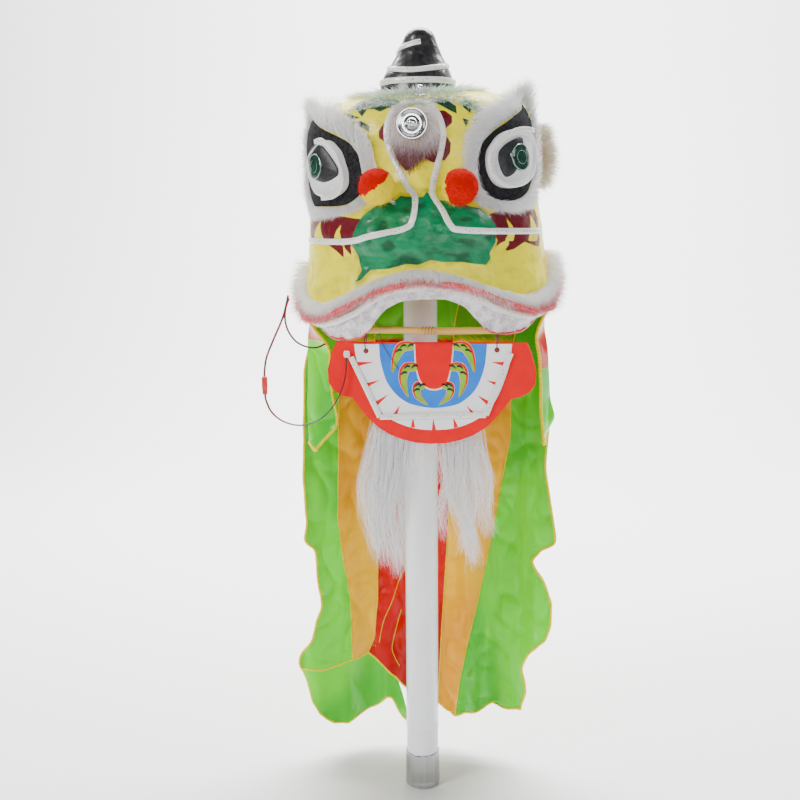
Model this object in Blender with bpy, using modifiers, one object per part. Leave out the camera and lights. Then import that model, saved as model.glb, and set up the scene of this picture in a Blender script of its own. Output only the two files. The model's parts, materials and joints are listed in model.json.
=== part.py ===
"""Child-size southern lion dance head on its display pole: papier-mache skull, horn, eyes, fur,
light strips, hanging jaw board, beard and satin cape. Metres, +Z up, the face looks along -Y.
The origin is the centre of the pole's foot."""

import math

import bmesh
import bpy
from mathutils import Vector
from mathutils.bvhtree import BVHTree

# Driving sizes, in metres
GAP = 0.0003                 # clearance kept between touching pieces
HEAD_WIDTH = 0.326           # across the brow, without fur
HEAD_FRONT = 0.158           # pole axis to the front of the muzzle
HEAD_BACK = 0.142            # pole axis to the back of the skull
CROWN_Z = 1.056              # top of the skull above the pole's foot
RIM_Z = 0.748                # lowest point of the skull's rim
WALL = 0.003                 # papier-mache wall
BLUNTNESS = 2.3              # 2 gives round sections, more gives squarer ones
FACE_SHIFT = 0.007           # the hand-made muzzle sits to one side of the brow's middle
HEAD_ROLL = math.radians(-2.5)   # the head sits a little askew on the pole
HEAD_PIVOT_Z = 1.030

POLE_RADIUS = 0.025
FERRULE_HEIGHT = 0.056
FERRULE_WALL = 0.0012
FERRULE_FLOOR = 0.003

HORN_RADIUS = 0.051
HORN_HEIGHT = 0.088
HORN_LEAN = 0.012            # the tip leans this far forward
HORN_Y = -0.018
COLLAR_REACH = 0.036         # how far the fur collar spreads beyond the horn

STRIP_WIDTH = 0.0082         # light strips
STRIP_THICK = 0.0016

EYE_X = 0.129
EYE_Z = 0.958
EYE_TURN = math.radians(50)  # the eyes look this far out to the sides
EYE_WIDTH = 0.150
EYE_TALL = 0.125
EYE_SINK = 0.026             # deepest that felt and fur follow the skull behind the eye's plane
FELT = 0.003
DISH_WIDTH = 0.092
DISH_TALL = 0.078
DISH_RISE = 0.009
PUPIL_RADIUS = 0.0175
PUPIL_RISE = 0.005

MIRROR_RADIUS = 0.0205
MIRROR_DEPTH = 0.005
MIRROR_WALL = 0.0012
MIRROR_X = 0.0
MIRROR_Z = 1.006
BALL_RADIUS = 0.0070
TUFT_FUR = 0.004
BELL_RADIUS = 0.0045
BELL_BASE_RADIUS = 0.0080
BELL_Z = 1.0475

POMPOM_RADIUS = 0.0245
POMPOM_STAND_OFF = 0.012
PIN_RADIUS = 0.0016

MOUTH_X = 0.0245             # middle of rod and jaw board, away from the pole's axis
ROD_RADIUS = 0.0056
ROD_LENGTH = 0.190
ROD_Z = 0.732
JAW_WIDTH = 0.290
JAW_HEIGHT = 0.142
JAW_BOARD = 0.004
JAW_TOP_Z = 0.716
HOLE_RADIUS = 0.0034
HOLE_DROP = 0.013
HOLE_SPACING = 0.181
STRING_RADIUS = 0.0008
PATCH_SIZE = 0.009

BEARD_WIDTH = 0.150
BEARD_HAIR = 0.012           # thickness of the beard's backing
BEARD_TOP_Z = 0.606
BEARD_X = -0.004             # middle of the beard, away from the middle of the board

EAR_WIDTH = 0.036
EAR_TALL = 0.090
EAR_THICK = 0.016
EAR_Y = 0.052                # how far behind the pole's axis the ears stand
EAR_SWEEP = 0.012

CAPE_CLOTH = 0.0016
CAPE_HALF_WIDTH = 0.190
CAPE_HEM_Z = 0.054
CAPE_BACK_Y = 0.120          # how far behind the pole the middle of the cape hangs
CAPE_CURVE = 0.075           # how much nearer the sides of the cape are
CAPE_FOLD = 0.006
CAPE_TUCK = 0.010            # cloth held inside the skull's rim
CAPE_INSET = 0.0022           # between the cloth and the skull's true inner face
FLAP_INSET = 0.0012
CAPE_SEAM = 0.0006

LEAD_RADIUS = 0.0016         # a pair of thin wires, as one round cord
CONNECTOR_WIDTH = 0.008
CONNECTOR_LENGTH = 0.026

# Numbers of facets round or along a piece
SHELL_STEPS = 42
POLE_SIDES = 24
HORN_SIDES = 18
COLLAR_SIDES = 24
BELL_SIDES = 12
MIRROR_SIDES = 16
FACE_STRIP_POINTS = 72
FELT_POINTS = 22
DISH_POINTS = 20
IRIS_POINTS = 16
PUPIL_POINTS = 14
EYE_STRIP_POINTS = 15
POMPOM_SIDES = 12
LIP_STEPS = 26
LOCK_SIDES = 8

HEAD_HEIGHT = CROWN_Z - RIM_Z
HALF_HEAD = HEAD_WIDTH / 2

# Rows of the skull from crown to rim. Columns: row, height share of HEAD_HEIGHT above the rim,
# half width share of HALF_HEAD, front share of HEAD_FRONT, back share of HEAD_BACK
SKULL_ROWS = (
    (0.00, 1.000, 0.00, 0.00, 0.00),
    (0.06, 0.995, 0.30, 0.30, 0.30),
    (0.12, 0.985, 0.58, 0.50, 0.55),
    (0.18, 0.960, 0.79, 0.66, 0.76),
    (0.25, 0.915, 0.92, 0.75, 0.88),
    (0.32, 0.850, 0.98, 0.795, 0.94),
    (0.42, 0.755, 1.00, 0.815, 0.97),
    (0.52, 0.645, 1.00, 0.835, 0.99),
    (0.60, 0.550, 1.00, 0.865, 1.00),
    (0.68, 0.455, 1.01, 0.905, 1.00),
    (0.76, 0.350, 1.03, 0.935, 1.00),
    (0.84, 0.240, 1.05, 0.955, 1.00),
    (0.92, 0.120, 1.08, 0.985, 1.00),
    (1.00, 0.000, 1.12, 1.050, 1.01),
)
FLARE_ROW = 9                # rows after this one stretch down to the uneven rim

# Height of the rim. Columns: degrees from the front, share of HEAD_HEIGHT above its lowest point
RIM_ROWS = (
    (0, 0.175), (15, 0.150), (32, 0.075), (48, 0.010), (62, 0.000), (80, 0.015),
    (100, 0.060), (125, 0.200), (150, 0.380), (180, 0.470),
)

# Profile of the horn. Columns: share of HORN_RADIUS, share of HORN_HEIGHT
HORN_ROWS = (
    (0.00, 1.00), (0.16, 0.98), (0.32, 0.91), (0.48, 0.785), (0.64, 0.60), (0.82, 0.37),
    (1.00, 0.20),
)

# Swellings of the front, as shares of HALF_HEAD across, HEAD_HEIGHT up and HEAD_FRONT deep.
# Columns: middle across, middle up, reach across, reach up, rise
SWELLINGS = (
    (0.06, 0.37, 0.52, 0.165, 0.125),
    (-0.40, 0.39, 0.17, 0.070, 0.055),
    (0.50, 0.39, 0.17, 0.070, 0.055),
    (0.02, 0.61, 0.20, 0.160, 0.060),
    (0.00, 0.84, 0.30, 0.130, 0.040),
)

# Outline of the black eye felt. Columns: outward share of EYE_WIDTH / 2, up share of EYE_TALL / 2,
# width of the fur round it as a share of EYE_TALL
FELT_ROWS = (
    (0.66, 1.08, 0.13), (0.12, 0.86, 0.15), (-0.43, 0.57, 0.14), (-0.67, 0.29, 0.10),
    (-0.76, 0.00, 0.08), (-0.83, -0.29, 0.08), (-0.80, -0.58, 0.09), (-0.58, -0.83, 0.10),
    (0.13, -0.88, 0.10), (0.53, -0.61, 0.07), (0.70, 0.18, 0.05),
)

# Outline of the eye's black iris, an almond. Columns: outward share of DISH_WIDTH / 2, up share of
# DISH_TALL / 2
IRIS_ROWS = (
    (0.37, 0.62), (-0.09, 0.66), (-0.56, 0.32), (-0.70, -0.15), (-0.60, -0.52), (-0.26, -0.57),
    (0.15, -0.40), (0.33, 0.08),
)

# Route of the light strip over the face. Columns: across share of HALF_HEAD, up share of
# HEAD_HEIGHT above the rim's lowest point
FACE_STRIP_ROWS = (
    (-0.93, 0.37), (-0.79, 0.36), (-0.64, 0.355), (-0.50, 0.365), (-0.36, 0.38), (-0.20, 0.39),
    (-0.08, 0.40), (-0.02, 0.43), (0.01, 0.48), (0.01, 0.53), (-0.05, 0.58), (-0.12, 0.65),
    (-0.18, 0.73), (-0.21, 0.79), (-0.20, 0.85), (-0.13, 0.915), (-0.01, 0.94), (0.12, 0.93),
    (0.21, 0.87), (0.25, 0.80), (0.23, 0.72), (0.18, 0.64), (0.155, 0.58), (0.16, 0.53),
    (0.22, 0.47), (0.29, 0.40), (0.37, 0.38), (0.50, 0.375), (0.64, 0.37), (0.80, 0.375),
    (0.98, 0.38),
)

# Fur between the legs of the face strip. Columns: up share of HEAD_HEIGHT, left edge, right edge
# as shares of HALF_HEAD
TUFT_ROWS = (
    (0.908, -0.03, 0.06), (0.888, -0.09, 0.11), (0.86, -0.13, 0.15), (0.80, -0.150, 0.19),
    (0.74, -0.13, 0.17), (0.69, -0.08, 0.12), (0.655, -0.03, 0.04),
)

# White gum under the lip. Columns: degrees from the front, lower edge as a share of HEAD_HEIGHT
# above the rim's lowest point
GUM_ROWS = (
    (0, 0.094), (8, 0.090), (16, 0.055), (23, -0.015), (28, -0.065), (38, -0.080), (50, -0.075),
    (62, -0.040), (70, -0.012), (76, -0.006),
)
GUM_SHEET = 0.0025
GUM_TURN_IN = 0.07           # share by which the gum's lower edge is drawn in
GUM_TUCK = 0.004
GUM_INSET = 0.0017           # between the gum and the skull's true inner face

# Fur along the lip. Columns: degrees from the front, middle height above the rim and half width as
# shares of HEAD_HEIGHT, thickness in metres
LIP_ROWS = (
    (0, 0.035, 0.024, 0.007), (25, 0.037, 0.026, 0.008), (50, 0.043, 0.032, 0.010),
    (68, 0.062, 0.050, 0.012), (80, 0.110, 0.075, 0.014), (92, 0.160, 0.065, 0.012),
)

# Half outline of the jaw board. Columns: across share of JAW_WIDTH / 2, down share of JAW_HEIGHT
JAW_ROWS = (
    (0.905, 0.000), (0.950, 0.110), (0.990, 0.270), (0.985, 0.400), (0.930, 0.480),
    (0.850, 0.525), (0.755, 0.550), (0.680, 0.655), (0.595, 0.755), (0.510, 0.840),
    (0.400, 0.910), (0.270, 0.960), (0.140, 0.990), (0.000, 1.000),
)
# Light strip on the board, the same columns
JAW_STRIP_ROWS = ((-0.795, 0.13), (-0.52, 0.74), (0.50, 0.72), (0.73, 0.08))

# Locks of the beard. Columns: top across share of BEARD_WIDTH / 2, tip across share, tip height
# above the floor, width and thickness shares of BEARD_WIDTH, how far the tip hangs behind the top
LOCK_ROWS = (
    (-0.62, -0.98, 0.420, 0.17, 0.12, 0.010),
    (-0.30, -0.55, 0.392, 0.20, 0.15, 0.022),
    (0.06, 0.02, 0.455, 0.19, 0.14, 0.020),
    (0.40, 0.72, 0.398, 0.16, 0.13, 0.020),
    (0.72, 1.05, 0.446, 0.13, 0.11, 0.006),
)

# Seams and outer edges of the cape. Columns: share of the way down, left edge, green to orange,
# orange to red, red to orange, orange to green, right edge, as shares of CAPE_HALF_WIDTH
CAPE_ROWS = (
    (0.00, -0.830, -0.680, -0.420, 0.237, 0.710, 0.830),
    (0.10, -0.970, -0.705, -0.437, 0.210, 0.720, 0.968),
    (0.25, -0.985, -0.720, -0.447, 0.190, 0.710, 1.000),
    (0.40, -0.995, -0.725, -0.453, 0.180, 0.668, 0.984),
    (0.55, -0.995, -0.735, -0.458, 0.168, 0.563, 1.084),
    (0.70, -0.920, -0.705, -0.437, 0.147, 0.447, 1.030),
    (0.80, -0.895, -0.670, -0.437, 0.126, 0.363, 1.000),
    (0.90, -0.937, -0.653, -0.458, 0.105, 0.290, 0.816),
    (1.00, -1.070, -0.647, -0.516, 0.080, 0.237, 0.805),
)
CAPE_SEAMS = (-1.0, -0.72, -0.46, 0.26, 0.66, 1.0)
# Height of the hem at each of those lines above CAPE_HEM_Z, as shares of the cape's length
CAPE_HEM = (0.155, 0.152, 0.155, 0.030, 0.000, 0.053)
CAPE_WRAP = 80               # degrees from the back to where the cape's top starts at each side

# Hem that shows behind the left side of the cape, with its tail. Columns: across share of
# CAPE_HALF_WIDTH, top and bottom height above CAPE_HEM_Z as shares of the cape's length
HEM_FLAP_ROWS = (
    (-1.05, 0.170, 0.140), (-0.99, 0.175, 0.060), (-0.90, 0.180, 0.026), (-0.77, 0.180, 0.002),
    (-0.65, 0.180, 0.004), (-0.48, 0.180, 0.034), (-0.34, 0.160, 0.070), (-0.29, 0.120, 0.042),
    (-0.22, 0.060, 0.006), (-0.155, -0.022, -0.030),
)

# Edges of the cape that are turned to the front at each side. Columns: share of the way down,
# outer edge, inner edge as shares of CAPE_HALF_WIDTH
LEFT_FLAP_ROWS = (
    (0.0, -0.90, -0.76), (0.2, -0.92, -0.72), (0.4, -0.92, -0.72), (0.6, -0.925, -0.71),
    (0.72, -0.94, -0.68), (0.82, -0.94, -0.67), (0.92, -0.93, -0.78), (1.0, -0.93, -0.86),
)
RIGHT_FLAP_ROWS = (
    (0.0, 0.86, 0.80), (0.2, 0.94, 0.87), (0.4, 0.985, 0.92), (0.6, 1.00, 0.935),
    (0.75, 1.01, 0.935), (0.88, 1.055, 0.95), (1.0, 0.98, 0.965),
)
FLAP_DROP = 0.222

# Free leads, chosen by hand: x, y, z in metres
LEAD_HEAD_ROUTE = (
    (-0.186, -0.052, 0.775), (-0.193, -0.058, 0.745), (-0.208, -0.060, 0.711),
    (-0.218, -0.061, 0.687), (-0.2215, -0.062, 0.668), (-0.222, -0.062, 0.658),
)
LEAD_JAW_ROUTE = (
    (-0.222, -0.062, 0.6314), (-0.2195, -0.064, 0.621), (-0.211, -0.070, 0.607),
    (-0.194, -0.078, 0.596), (-0.171, -0.088, 0.592), (-0.148, -0.099, 0.597),
    (-0.127, -0.115, 0.610), (-0.110, -0.1235, 0.629), (-0.099, -0.1255, 0.650),
    (-0.0935, -0.1250, 0.670), (-0.0915, -0.1235, 0.686),
)
LEAD_SPARE_ROUTE = (
    (-0.1865, -0.045, 0.770), (-0.1905, -0.052, 0.755), (-0.190, -0.058, 0.738),
    (-0.184, -0.062, 0.722), (-0.173, -0.064, 0.709), (-0.158, -0.064, 0.702),
    (-0.144, -0.062, 0.701), (-0.132, -0.058, 0.706),
)


def mixed(low, high, share):
    return low + (high - low) * share


def ramp(rows, at, column):
    """Value of a table's column where its first column, which rises, reaches a number."""
    if at <= rows[0][0]:
        return rows[0][column]
    for low, high in zip(rows, rows[1:]):
        if at <= high[0]:
            return mixed(low[column], high[column], (at - low[0]) / (high[0] - low[0]))
    return rows[-1][column]


def soft_ramp(rows, at, column, reach):
    """The same, averaged over a small window, which rounds the table's corners."""
    values = [ramp(rows, at + reach * step, column) for step in (-1, -0.5, 0, 0.5, 1)]
    return sum(values) / len(values)


def smooth(share):
    share = min(1.0, max(0.0, share))
    return share * share * (3 - 2 * share)


def closed_curve(points, count):
    """Evenly numbered points along a smooth closed curve through the given ones."""
    made = []
    size = len(points)
    for k in range(count):
        at = k * size / count
        i = int(at)
        made.append(spline([points[(i + j - 1) % size] for j in range(4)], at - i))
    return made


def open_curve(points, count):
    """Points along a smooth open curve through the given ones."""
    ends = [points[0]] + list(points) + [points[-1]]
    made = []
    for k in range(count):
        at = k * (len(points) - 1) / (count - 1)
        i = min(int(at), len(points) - 2)
        made.append(spline(ends[i:i + 4], at - i))
    return made


def spline(four, t):
    a, b, c, d = (Vector(point) for point in four)
    bend = (a * 2 - b * 5 + c * 4 - d) * t * t + (b * 3 - a - c * 3 + d) * t * t * t
    return (b * 2 + (c - a) * t + bend) * 0.5


def rim_height(degrees):
    turn = abs((degrees + 180) % 360 - 180)
    return RIM_Z + HEAD_HEIGHT * soft_ramp(RIM_ROWS, turn, 1, 9)


def skull_point(degrees, row):
    """Outer skin of the skull, in the head's own upright frame."""
    sine, cosine = math.sin(math.radians(degrees)), math.cos(math.radians(degrees))
    across = ramp(SKULL_ROWS, row, 2) * HALF_HEAD
    ahead = ramp(SKULL_ROWS, row, 3) * HEAD_FRONT
    behind = ramp(SKULL_ROWS, row, 4) * HEAD_BACK
    height = ramp(SKULL_ROWS, row, 1)
    z = RIM_Z + height * HEAD_HEIGHT
    if row > SKULL_ROWS[FLARE_ROW][0]:
        flare = SKULL_ROWS[FLARE_ROW][1]
        flare_z = RIM_Z + flare * HEAD_HEIGHT
        z = flare_z - (flare - height) / flare * (flare_z - rim_height(degrees))
    x = across * math.copysign(abs(sine) ** (2 / BLUNTNESS), sine)
    x += FACE_SHIFT * smooth((row - 0.45) / 0.3) * max(0.0, cosine)
    depth = ahead if cosine > 0 else behind
    y = -depth * math.copysign(abs(cosine) ** (2 / BLUNTNESS), cosine)
    if cosine > 0:
        for middle_x, middle_z, reach_x, reach_z, rise in SWELLINGS:
            across_share = (x / HALF_HEAD - middle_x) / reach_x
            up_share = ((z - RIM_Z) / HEAD_HEIGHT - middle_z) / reach_z
            y -= rise * HEAD_FRONT * math.exp(-across_share ** 2 - up_share ** 2)
    return Vector((x, y, z))


def material(name, colour, roughness=0.6, metallic=0.0):
    made = bpy.data.materials.new(name)
    made.use_nodes = True
    shader = made.node_tree.nodes["Principled BSDF"]
    shader.inputs["Base Color"].default_value = (*colour, 1.0)
    shader.inputs["Roughness"].default_value = roughness
    shader.inputs["Metallic"].default_value = metallic
    made.diffuse_color = (*colour, 1.0)
    return made


def add(obj, colour, head=None):
    """Put an object in the part's collection with its material, on the head if one is given."""
    collection.objects.link(obj)
    if colour:
        obj.data.materials.append(colour)
    if head:
        obj.parent = head
        obj.location = obj.location - Vector((0, 0, HEAD_PIVOT_Z))
    return obj


def mesh_object(name, built, soft=40):
    bmesh.ops.recalc_face_normals(built, faces=built.faces)
    data = bpy.data.meshes.new(name)
    built.to_mesh(data)
    built.free()
    data.shade_smooth()
    data.set_sharp_from_angle(angle=math.radians(soft))
    return bpy.data.objects.new(name, data)


def grid_solid(name, bottom, top, wrap=False):
    """Closed body between two grids of points; rows run closed if they wrap."""
    built = bmesh.new()
    low = [[built.verts.new(point) for point in row] for row in bottom]
    high = [[built.verts.new(point) for point in row] for row in top]
    rows, columns = len(low), len(low[0])
    around = columns if wrap else columns - 1
    for i in range(rows - 1):
        for j in range(around):
            k = (j + 1) % columns
            built.faces.new((low[i][j], low[i + 1][j], low[i + 1][k], low[i][k]))
            built.faces.new((high[i][j], high[i][k], high[i + 1][k], high[i + 1][j]))
    for i in (0, rows - 1):
        for j in range(around):
            k = (j + 1) % columns
            built.faces.new((low[i][j], low[i][k], high[i][k], high[i][j]))
    if not wrap:
        for j in (0, columns - 1):
            for i in range(rows - 1):
                built.faces.new((low[i][j], low[i + 1][j], high[i + 1][j], high[i][j]))
    bmesh.ops.remove_doubles(built, verts=built.verts, dist=0.00001)
    bmesh.ops.triangulate(built, faces=built.faces)
    return mesh_object(name, built)


def surface_of(obj):
    """Search tree of an object's evaluated mesh in its own frame."""
    return BVHTree.FromObject(obj, bpy.context.evaluated_depsgraph_get())


def nearest_hit(skins, start, ahead):
    hits = [skin.ray_cast(start, ahead) for skin in skins]
    hits = [hit for hit in hits if hit[0] is not None]
    return min(hits, key=lambda hit: hit[3])[0] if hits else None


def clearance(skins, point):
    """Signed distance to the nearest of some surfaces, positive outside."""
    best = None
    for skin in skins:
        spot, normal, _, far = skin.find_nearest(point)
        side = 1 if (point - spot).dot(normal) >= 0 else -1
        if best is None or side * far < best:
            best = side * far
    return best


MISSED = 0.36                # a ray that runs this far has passed the skull by


def seated(name, rows, place, skins, thickness, wrap=False, deepest=None, lift=0.0002):
    """Body laid on other surfaces: each (a, b) of the grid is dropped along place's direction."""
    bottom, ways = [], []
    for row in rows:
        starts = [place(a, b) for a, b in row]
        depths = []
        for start, ahead in starts:
            spot = nearest_hit(skins, start, ahead)
            depths.append((spot - start).length if spot else 1.0)
        if deepest:
            depths = [min(depth, deepest) for depth in depths]
        for j, depth in enumerate(depths):
            if depth > MISSED:
                known = [(abs(k - j), other) for k, other in enumerate(depths) if other <= MISSED]
                depths[j] = min(known)[1]
        bottom.append([start + ahead * (depth - GAP - lift)
                       for (start, ahead), depth in zip(starts, depths)])
        ways.append([ahead for _, ahead in starts])
    columns = len(rows[0])
    around = columns if wrap else columns - 1
    for _ in range(4):
        for i in range(len(rows) - 1):
            for j in range(around):
                k = (j + 1) % columns
                corners = ((i, j), (i + 1, j), (i, k), (i + 1, k))
                short = 0.0
                for u in (0.0, 0.25, 0.5, 0.75, 1.0):
                    for v in (0.0, 0.25, 0.5, 0.75, 1.0):
                        near = bottom[i][j].lerp(bottom[i + 1][j], u)
                        far = bottom[i][k].lerp(bottom[i + 1][k], u)
                        short = max(short, GAP + 0.0001 - clearance(skins, near.lerp(far, v)))
                if short > 0 and short < 0.01:
                    for p, q in corners:
                        bottom[p][q] = bottom[p][q] - ways[p][q] * short * 1.1
    for i, row in enumerate(rows):
        if wrap and (Vector(row[0]) - Vector(row[1])).length < 0.00001:
            outmost = min(zip(bottom[i], ways[i]), key=lambda pair: pair[0].dot(pair[1]))[0]
            bottom[i] = [outmost.copy() for _ in row]
    top = []
    for i, row in enumerate(rows):
        size = [thickness(i, j) for j in range(len(row))]
        top.append([bottom[i][j] - ways[i][j] * size[j] for j in range(len(row))])
    return grid_solid(name, bottom, top, wrap)


def from_front(across, up):
    return Vector((across, -0.4, up)), Vector((0, 1, 0))


def from_round(degrees, up):
    turn = math.radians(degrees)
    out = Vector((math.sin(turn), -math.cos(turn), 0))
    return Vector((0, 0, up)) + out * 0.4, -out


def from_above(across, ahead):
    return Vector((across, ahead, CROWN_Z + 0.2)), Vector((0, 0, -1))


def eye_place(side):
    out = Vector((side * math.sin(EYE_TURN), -math.cos(EYE_TURN), 0))
    aside = Vector((side * math.cos(EYE_TURN), math.sin(EYE_TURN), 0))

    def place(a, b):
        middle = Vector((side * EYE_X, 0, EYE_Z))
        middle.y = eye_depth(side)
        return middle + aside * a + Vector((0, 0, b)) + out * 0.1, -out
    return place


def eye_depth(side):
    """Where the line of sight of an eye leaves the skull."""
    start, ahead = from_front(side * EYE_X, EYE_Z)
    return shell_skin.ray_cast(start, ahead)[0].y


def rings_of(outline, shares):
    """Rings of an outline drawn in towards its middle, the first one at the middle itself."""
    middle = sum(outline, Vector((0, 0))) / len(outline)
    return [[middle.lerp(point, share) for point in outline] for share in shares]


def ribbon_rows(path, width):
    """Pairs of edge points of a ribbon along a path in a flat chart."""
    rows = []
    for i, point in enumerate(path):
        before, after = path[max(i - 1, 0)], path[min(i + 1, len(path) - 1)]
        along = (after - before).normalized()
        aside = Vector((-along.y, along.x)) * width / 2
        rows.append((point - aside, point + aside))
    return rows


def turned(name, profile, steps=24):
    """Round body from a closed profile of radius and height, both ends on the axis."""
    built = bmesh.new()
    line = [built.verts.new((radius, 0, height)) for radius, height in profile]
    for a, b in zip(line, line[1:]):
        built.edges.new((a, b))
    data = bpy.data.meshes.new(name)
    built.to_mesh(data)
    built.free()
    obj = bpy.data.objects.new(name, data)
    screw = obj.modifiers.new("Turn", "SCREW")
    screw.steps = steps
    screw.render_steps = steps
    screw.use_merge_vertices = True
    screw.merge_threshold = 0.00005
    screw.use_smooth_shade = True
    return obj


def tube(name, points, radius, sides=2):
    """Round bar or cord along a row of points."""
    data = bpy.data.curves.new(name, "CURVE")
    data.dimensions = "3D"
    data.bevel_depth = radius
    data.bevel_resolution = sides
    data.use_fill_caps = True
    line = data.splines.new("POLY")
    line.points.add(len(points) - 1)
    for spot, point in zip(line.points, points):
        spot.co = (*point, 1)
    return bpy.data.objects.new(name, data)


def plate(name, outlines, thick):
    """Flat plate in the XZ plane, cut from outlines of which the later ones are holes."""
    data = bpy.data.curves.new(name, "CURVE")
    data.dimensions = "2D"
    data.fill_mode = "BOTH"
    data.extrude = thick / 2
    for outline in outlines:
        line = data.splines.new("POLY")
        line.points.add(len(outline) - 1)
        for spot, point in zip(line.points, outline):
            spot.co = (point[0], point[1], 0, 1)
        line.use_cyclic_u = True
    obj = bpy.data.objects.new(name, data)
    obj.rotation_euler = (math.radians(90), 0, 0)
    return obj


def cape_x(u, t):
    for k in range(len(CAPE_SEAMS) - 1):
        if u <= CAPE_SEAMS[k + 1] or k == len(CAPE_SEAMS) - 2:
            share = (u - CAPE_SEAMS[k]) / (CAPE_SEAMS[k + 1] - CAPE_SEAMS[k])
            left, right = ramp(CAPE_ROWS, t, k + 1), ramp(CAPE_ROWS, t, k + 2)
            return mixed(left, right, share) * CAPE_HALF_WIDTH
    return 0.0


def cape_hem_z(u):
    rows = [(seam, hem) for seam, hem in zip(CAPE_SEAMS, CAPE_HEM)]
    return CAPE_HEM_Z + ramp(rows, u, 1) * (RIM_Z - CAPE_HEM_Z)


def cape_depth(x, z):
    """Depth of the hanging cloth behind the face, with its long folds."""
    share = x / CAPE_HALF_WIDTH
    low = smooth((RIM_Z - z) / (RIM_Z - CAPE_HEM_Z) * 1.4)
    folds = math.sin(share * 11.0 + 0.8) + 0.5 * math.sin(share * 23.0 + z * 9.0)
    return CAPE_BACK_Y - CAPE_CURVE * share * share + CAPE_FOLD * low * folds


def inner_wall(degrees, row, inside):
    """Point inside the skull's wall, drawn in towards the pole by a clearance."""
    point = skull_point(degrees, row)
    flat = Vector((point.x, point.y, 0))
    flat = flat * (1 - (WALL + inside) / flat.length)
    return Vector((flat.x, flat.y, point.z))


def tucked(degrees, inset=CAPE_INSET):
    """Where cloth is held against the wall just inside the skull's rim, in the world."""
    height = rim_height(degrees) + CAPE_TUCK
    low, high = 0.5, 1.0
    for _ in range(24):
        middle = (low + high) / 2
        if skull_point(degrees, middle).z > height:
            low = middle
        else:
            high = middle
    return to_world(inner_wall(degrees, low, CAPE_CLOTH / 2 + inset))


def cape_point(u, t):
    held = tucked(180 - CAPE_WRAP * u)
    z = mixed(held.z, cape_hem_z(u), t)
    x = cape_x(u, t)
    free = Vector((x, cape_depth(x, z), z))
    share = smooth((t - 0.03) / 0.2)
    return Vector((mixed(held.x, free.x, share), mixed(held.y, free.y, share), z))


def cloth(name, point, rows, columns):
    """Thin sheet on a function of two shares, thick along the function's own normal."""
    bottom, top = [], []
    step = 0.002
    for t in rows:
        low, high = [], []
        for u in columns:
            here = point(u, t)
            aside = point(u + step, t) - point(u - step, t)
            down = point(u, t + step) - point(u, max(t - step, 0.0))
            normal = aside.cross(down).normalized() * CAPE_CLOTH / 2
            low.append(here - normal)
            high.append(here + normal)
        bottom.append(low)
        top.append(high)
    return grid_solid(name, bottom, top)


def to_world(point):
    """From the head's upright frame to the rolled head's place in the world."""
    low = point - Vector((0, 0, HEAD_PIVOT_Z))
    cosine, sine = math.cos(HEAD_ROLL), math.sin(HEAD_ROLL)
    turned_x = low.x * cosine + low.z * sine
    turned_z = low.z * cosine - low.x * sine
    return Vector((turned_x, low.y, turned_z + HEAD_PIVOT_Z))


def even(low, high, count):
    return [mixed(low, high, i / (count - 1)) for i in range(count)]


# Scene and colours
for old in list(bpy.data.objects):
    bpy.data.objects.remove(old)
collection = bpy.data.collections.new("lion_dance_head")
bpy.context.scene.collection.children.link(collection)

YELLOW = material("glossy yellow paint", (0.95, 0.80, 0.02), 0.35)
BLACK_FELT = material("black felt", (0.012, 0.012, 0.014), 0.9)
WHITE_FUR = material("white fur", (0.86, 0.85, 0.82), 0.85)
MAROON_FUR = material("white fur tipped maroon", (0.62, 0.42, 0.42), 0.85)
EYE_WHITE = material("white eye board", (0.86, 0.86, 0.85), 0.45)
IRIS_BLACK = material("black iris paper", (0.01, 0.01, 0.012), 0.6)
PUPIL_GREEN = material("green glass pupil", (0.03, 0.10, 0.07), 0.12)
STRIP_WHITE = material("white light strip", (0.88, 0.88, 0.84), 0.4)
CHROME = material("polished metal", (0.75, 0.75, 0.76), 0.15, 1.0)
POMPOM_RED = material("red wool", (0.72, 0.03, 0.03), 0.9)
EAR_FUR = material("ear fur", (0.84, 0.80, 0.78), 0.85)
EAR_RED = material("reddish ear lining", (0.52, 0.20, 0.17), 0.8)
GUM_WHITE = material("white papier mache", (0.84, 0.83, 0.82), 0.6)
BAMBOO = material("bamboo", (0.72, 0.47, 0.20), 0.5)
STRING = material("dark red string", (0.16, 0.03, 0.03), 0.8)
JAW_RED = material("red printed board", (0.80, 0.05, 0.05), 0.5)
CLEAR = material("clear solder cover", (0.72, 0.66, 0.66), 0.3)
HAIR = material("white beard hair", (0.82, 0.82, 0.80), 0.5)
GREEN = material("green satin", (0.14, 0.72, 0.06), 0.4)
ORANGE = material("orange satin", (0.90, 0.42, 0.02), 0.4)
RED = material("red satin", (0.66, 0.02, 0.02), 0.4)
PVC = material("white plastic pipe", (0.86, 0.87, 0.89), 0.35)
STEEL = material("brushed steel", (0.56, 0.56, 0.55), 0.32, 1.0)
WIRE = material("red and black wire", (0.22, 0.02, 0.02), 0.45)
PLUG = material("red connector", (0.72, 0.05, 0.04), 0.45)

head = bpy.data.objects.new("head_frame", None)
collection.objects.link(head)
head.location = (0, 0, HEAD_PIVOT_Z)
head.rotation_euler = (0, HEAD_ROLL, 0)

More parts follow.
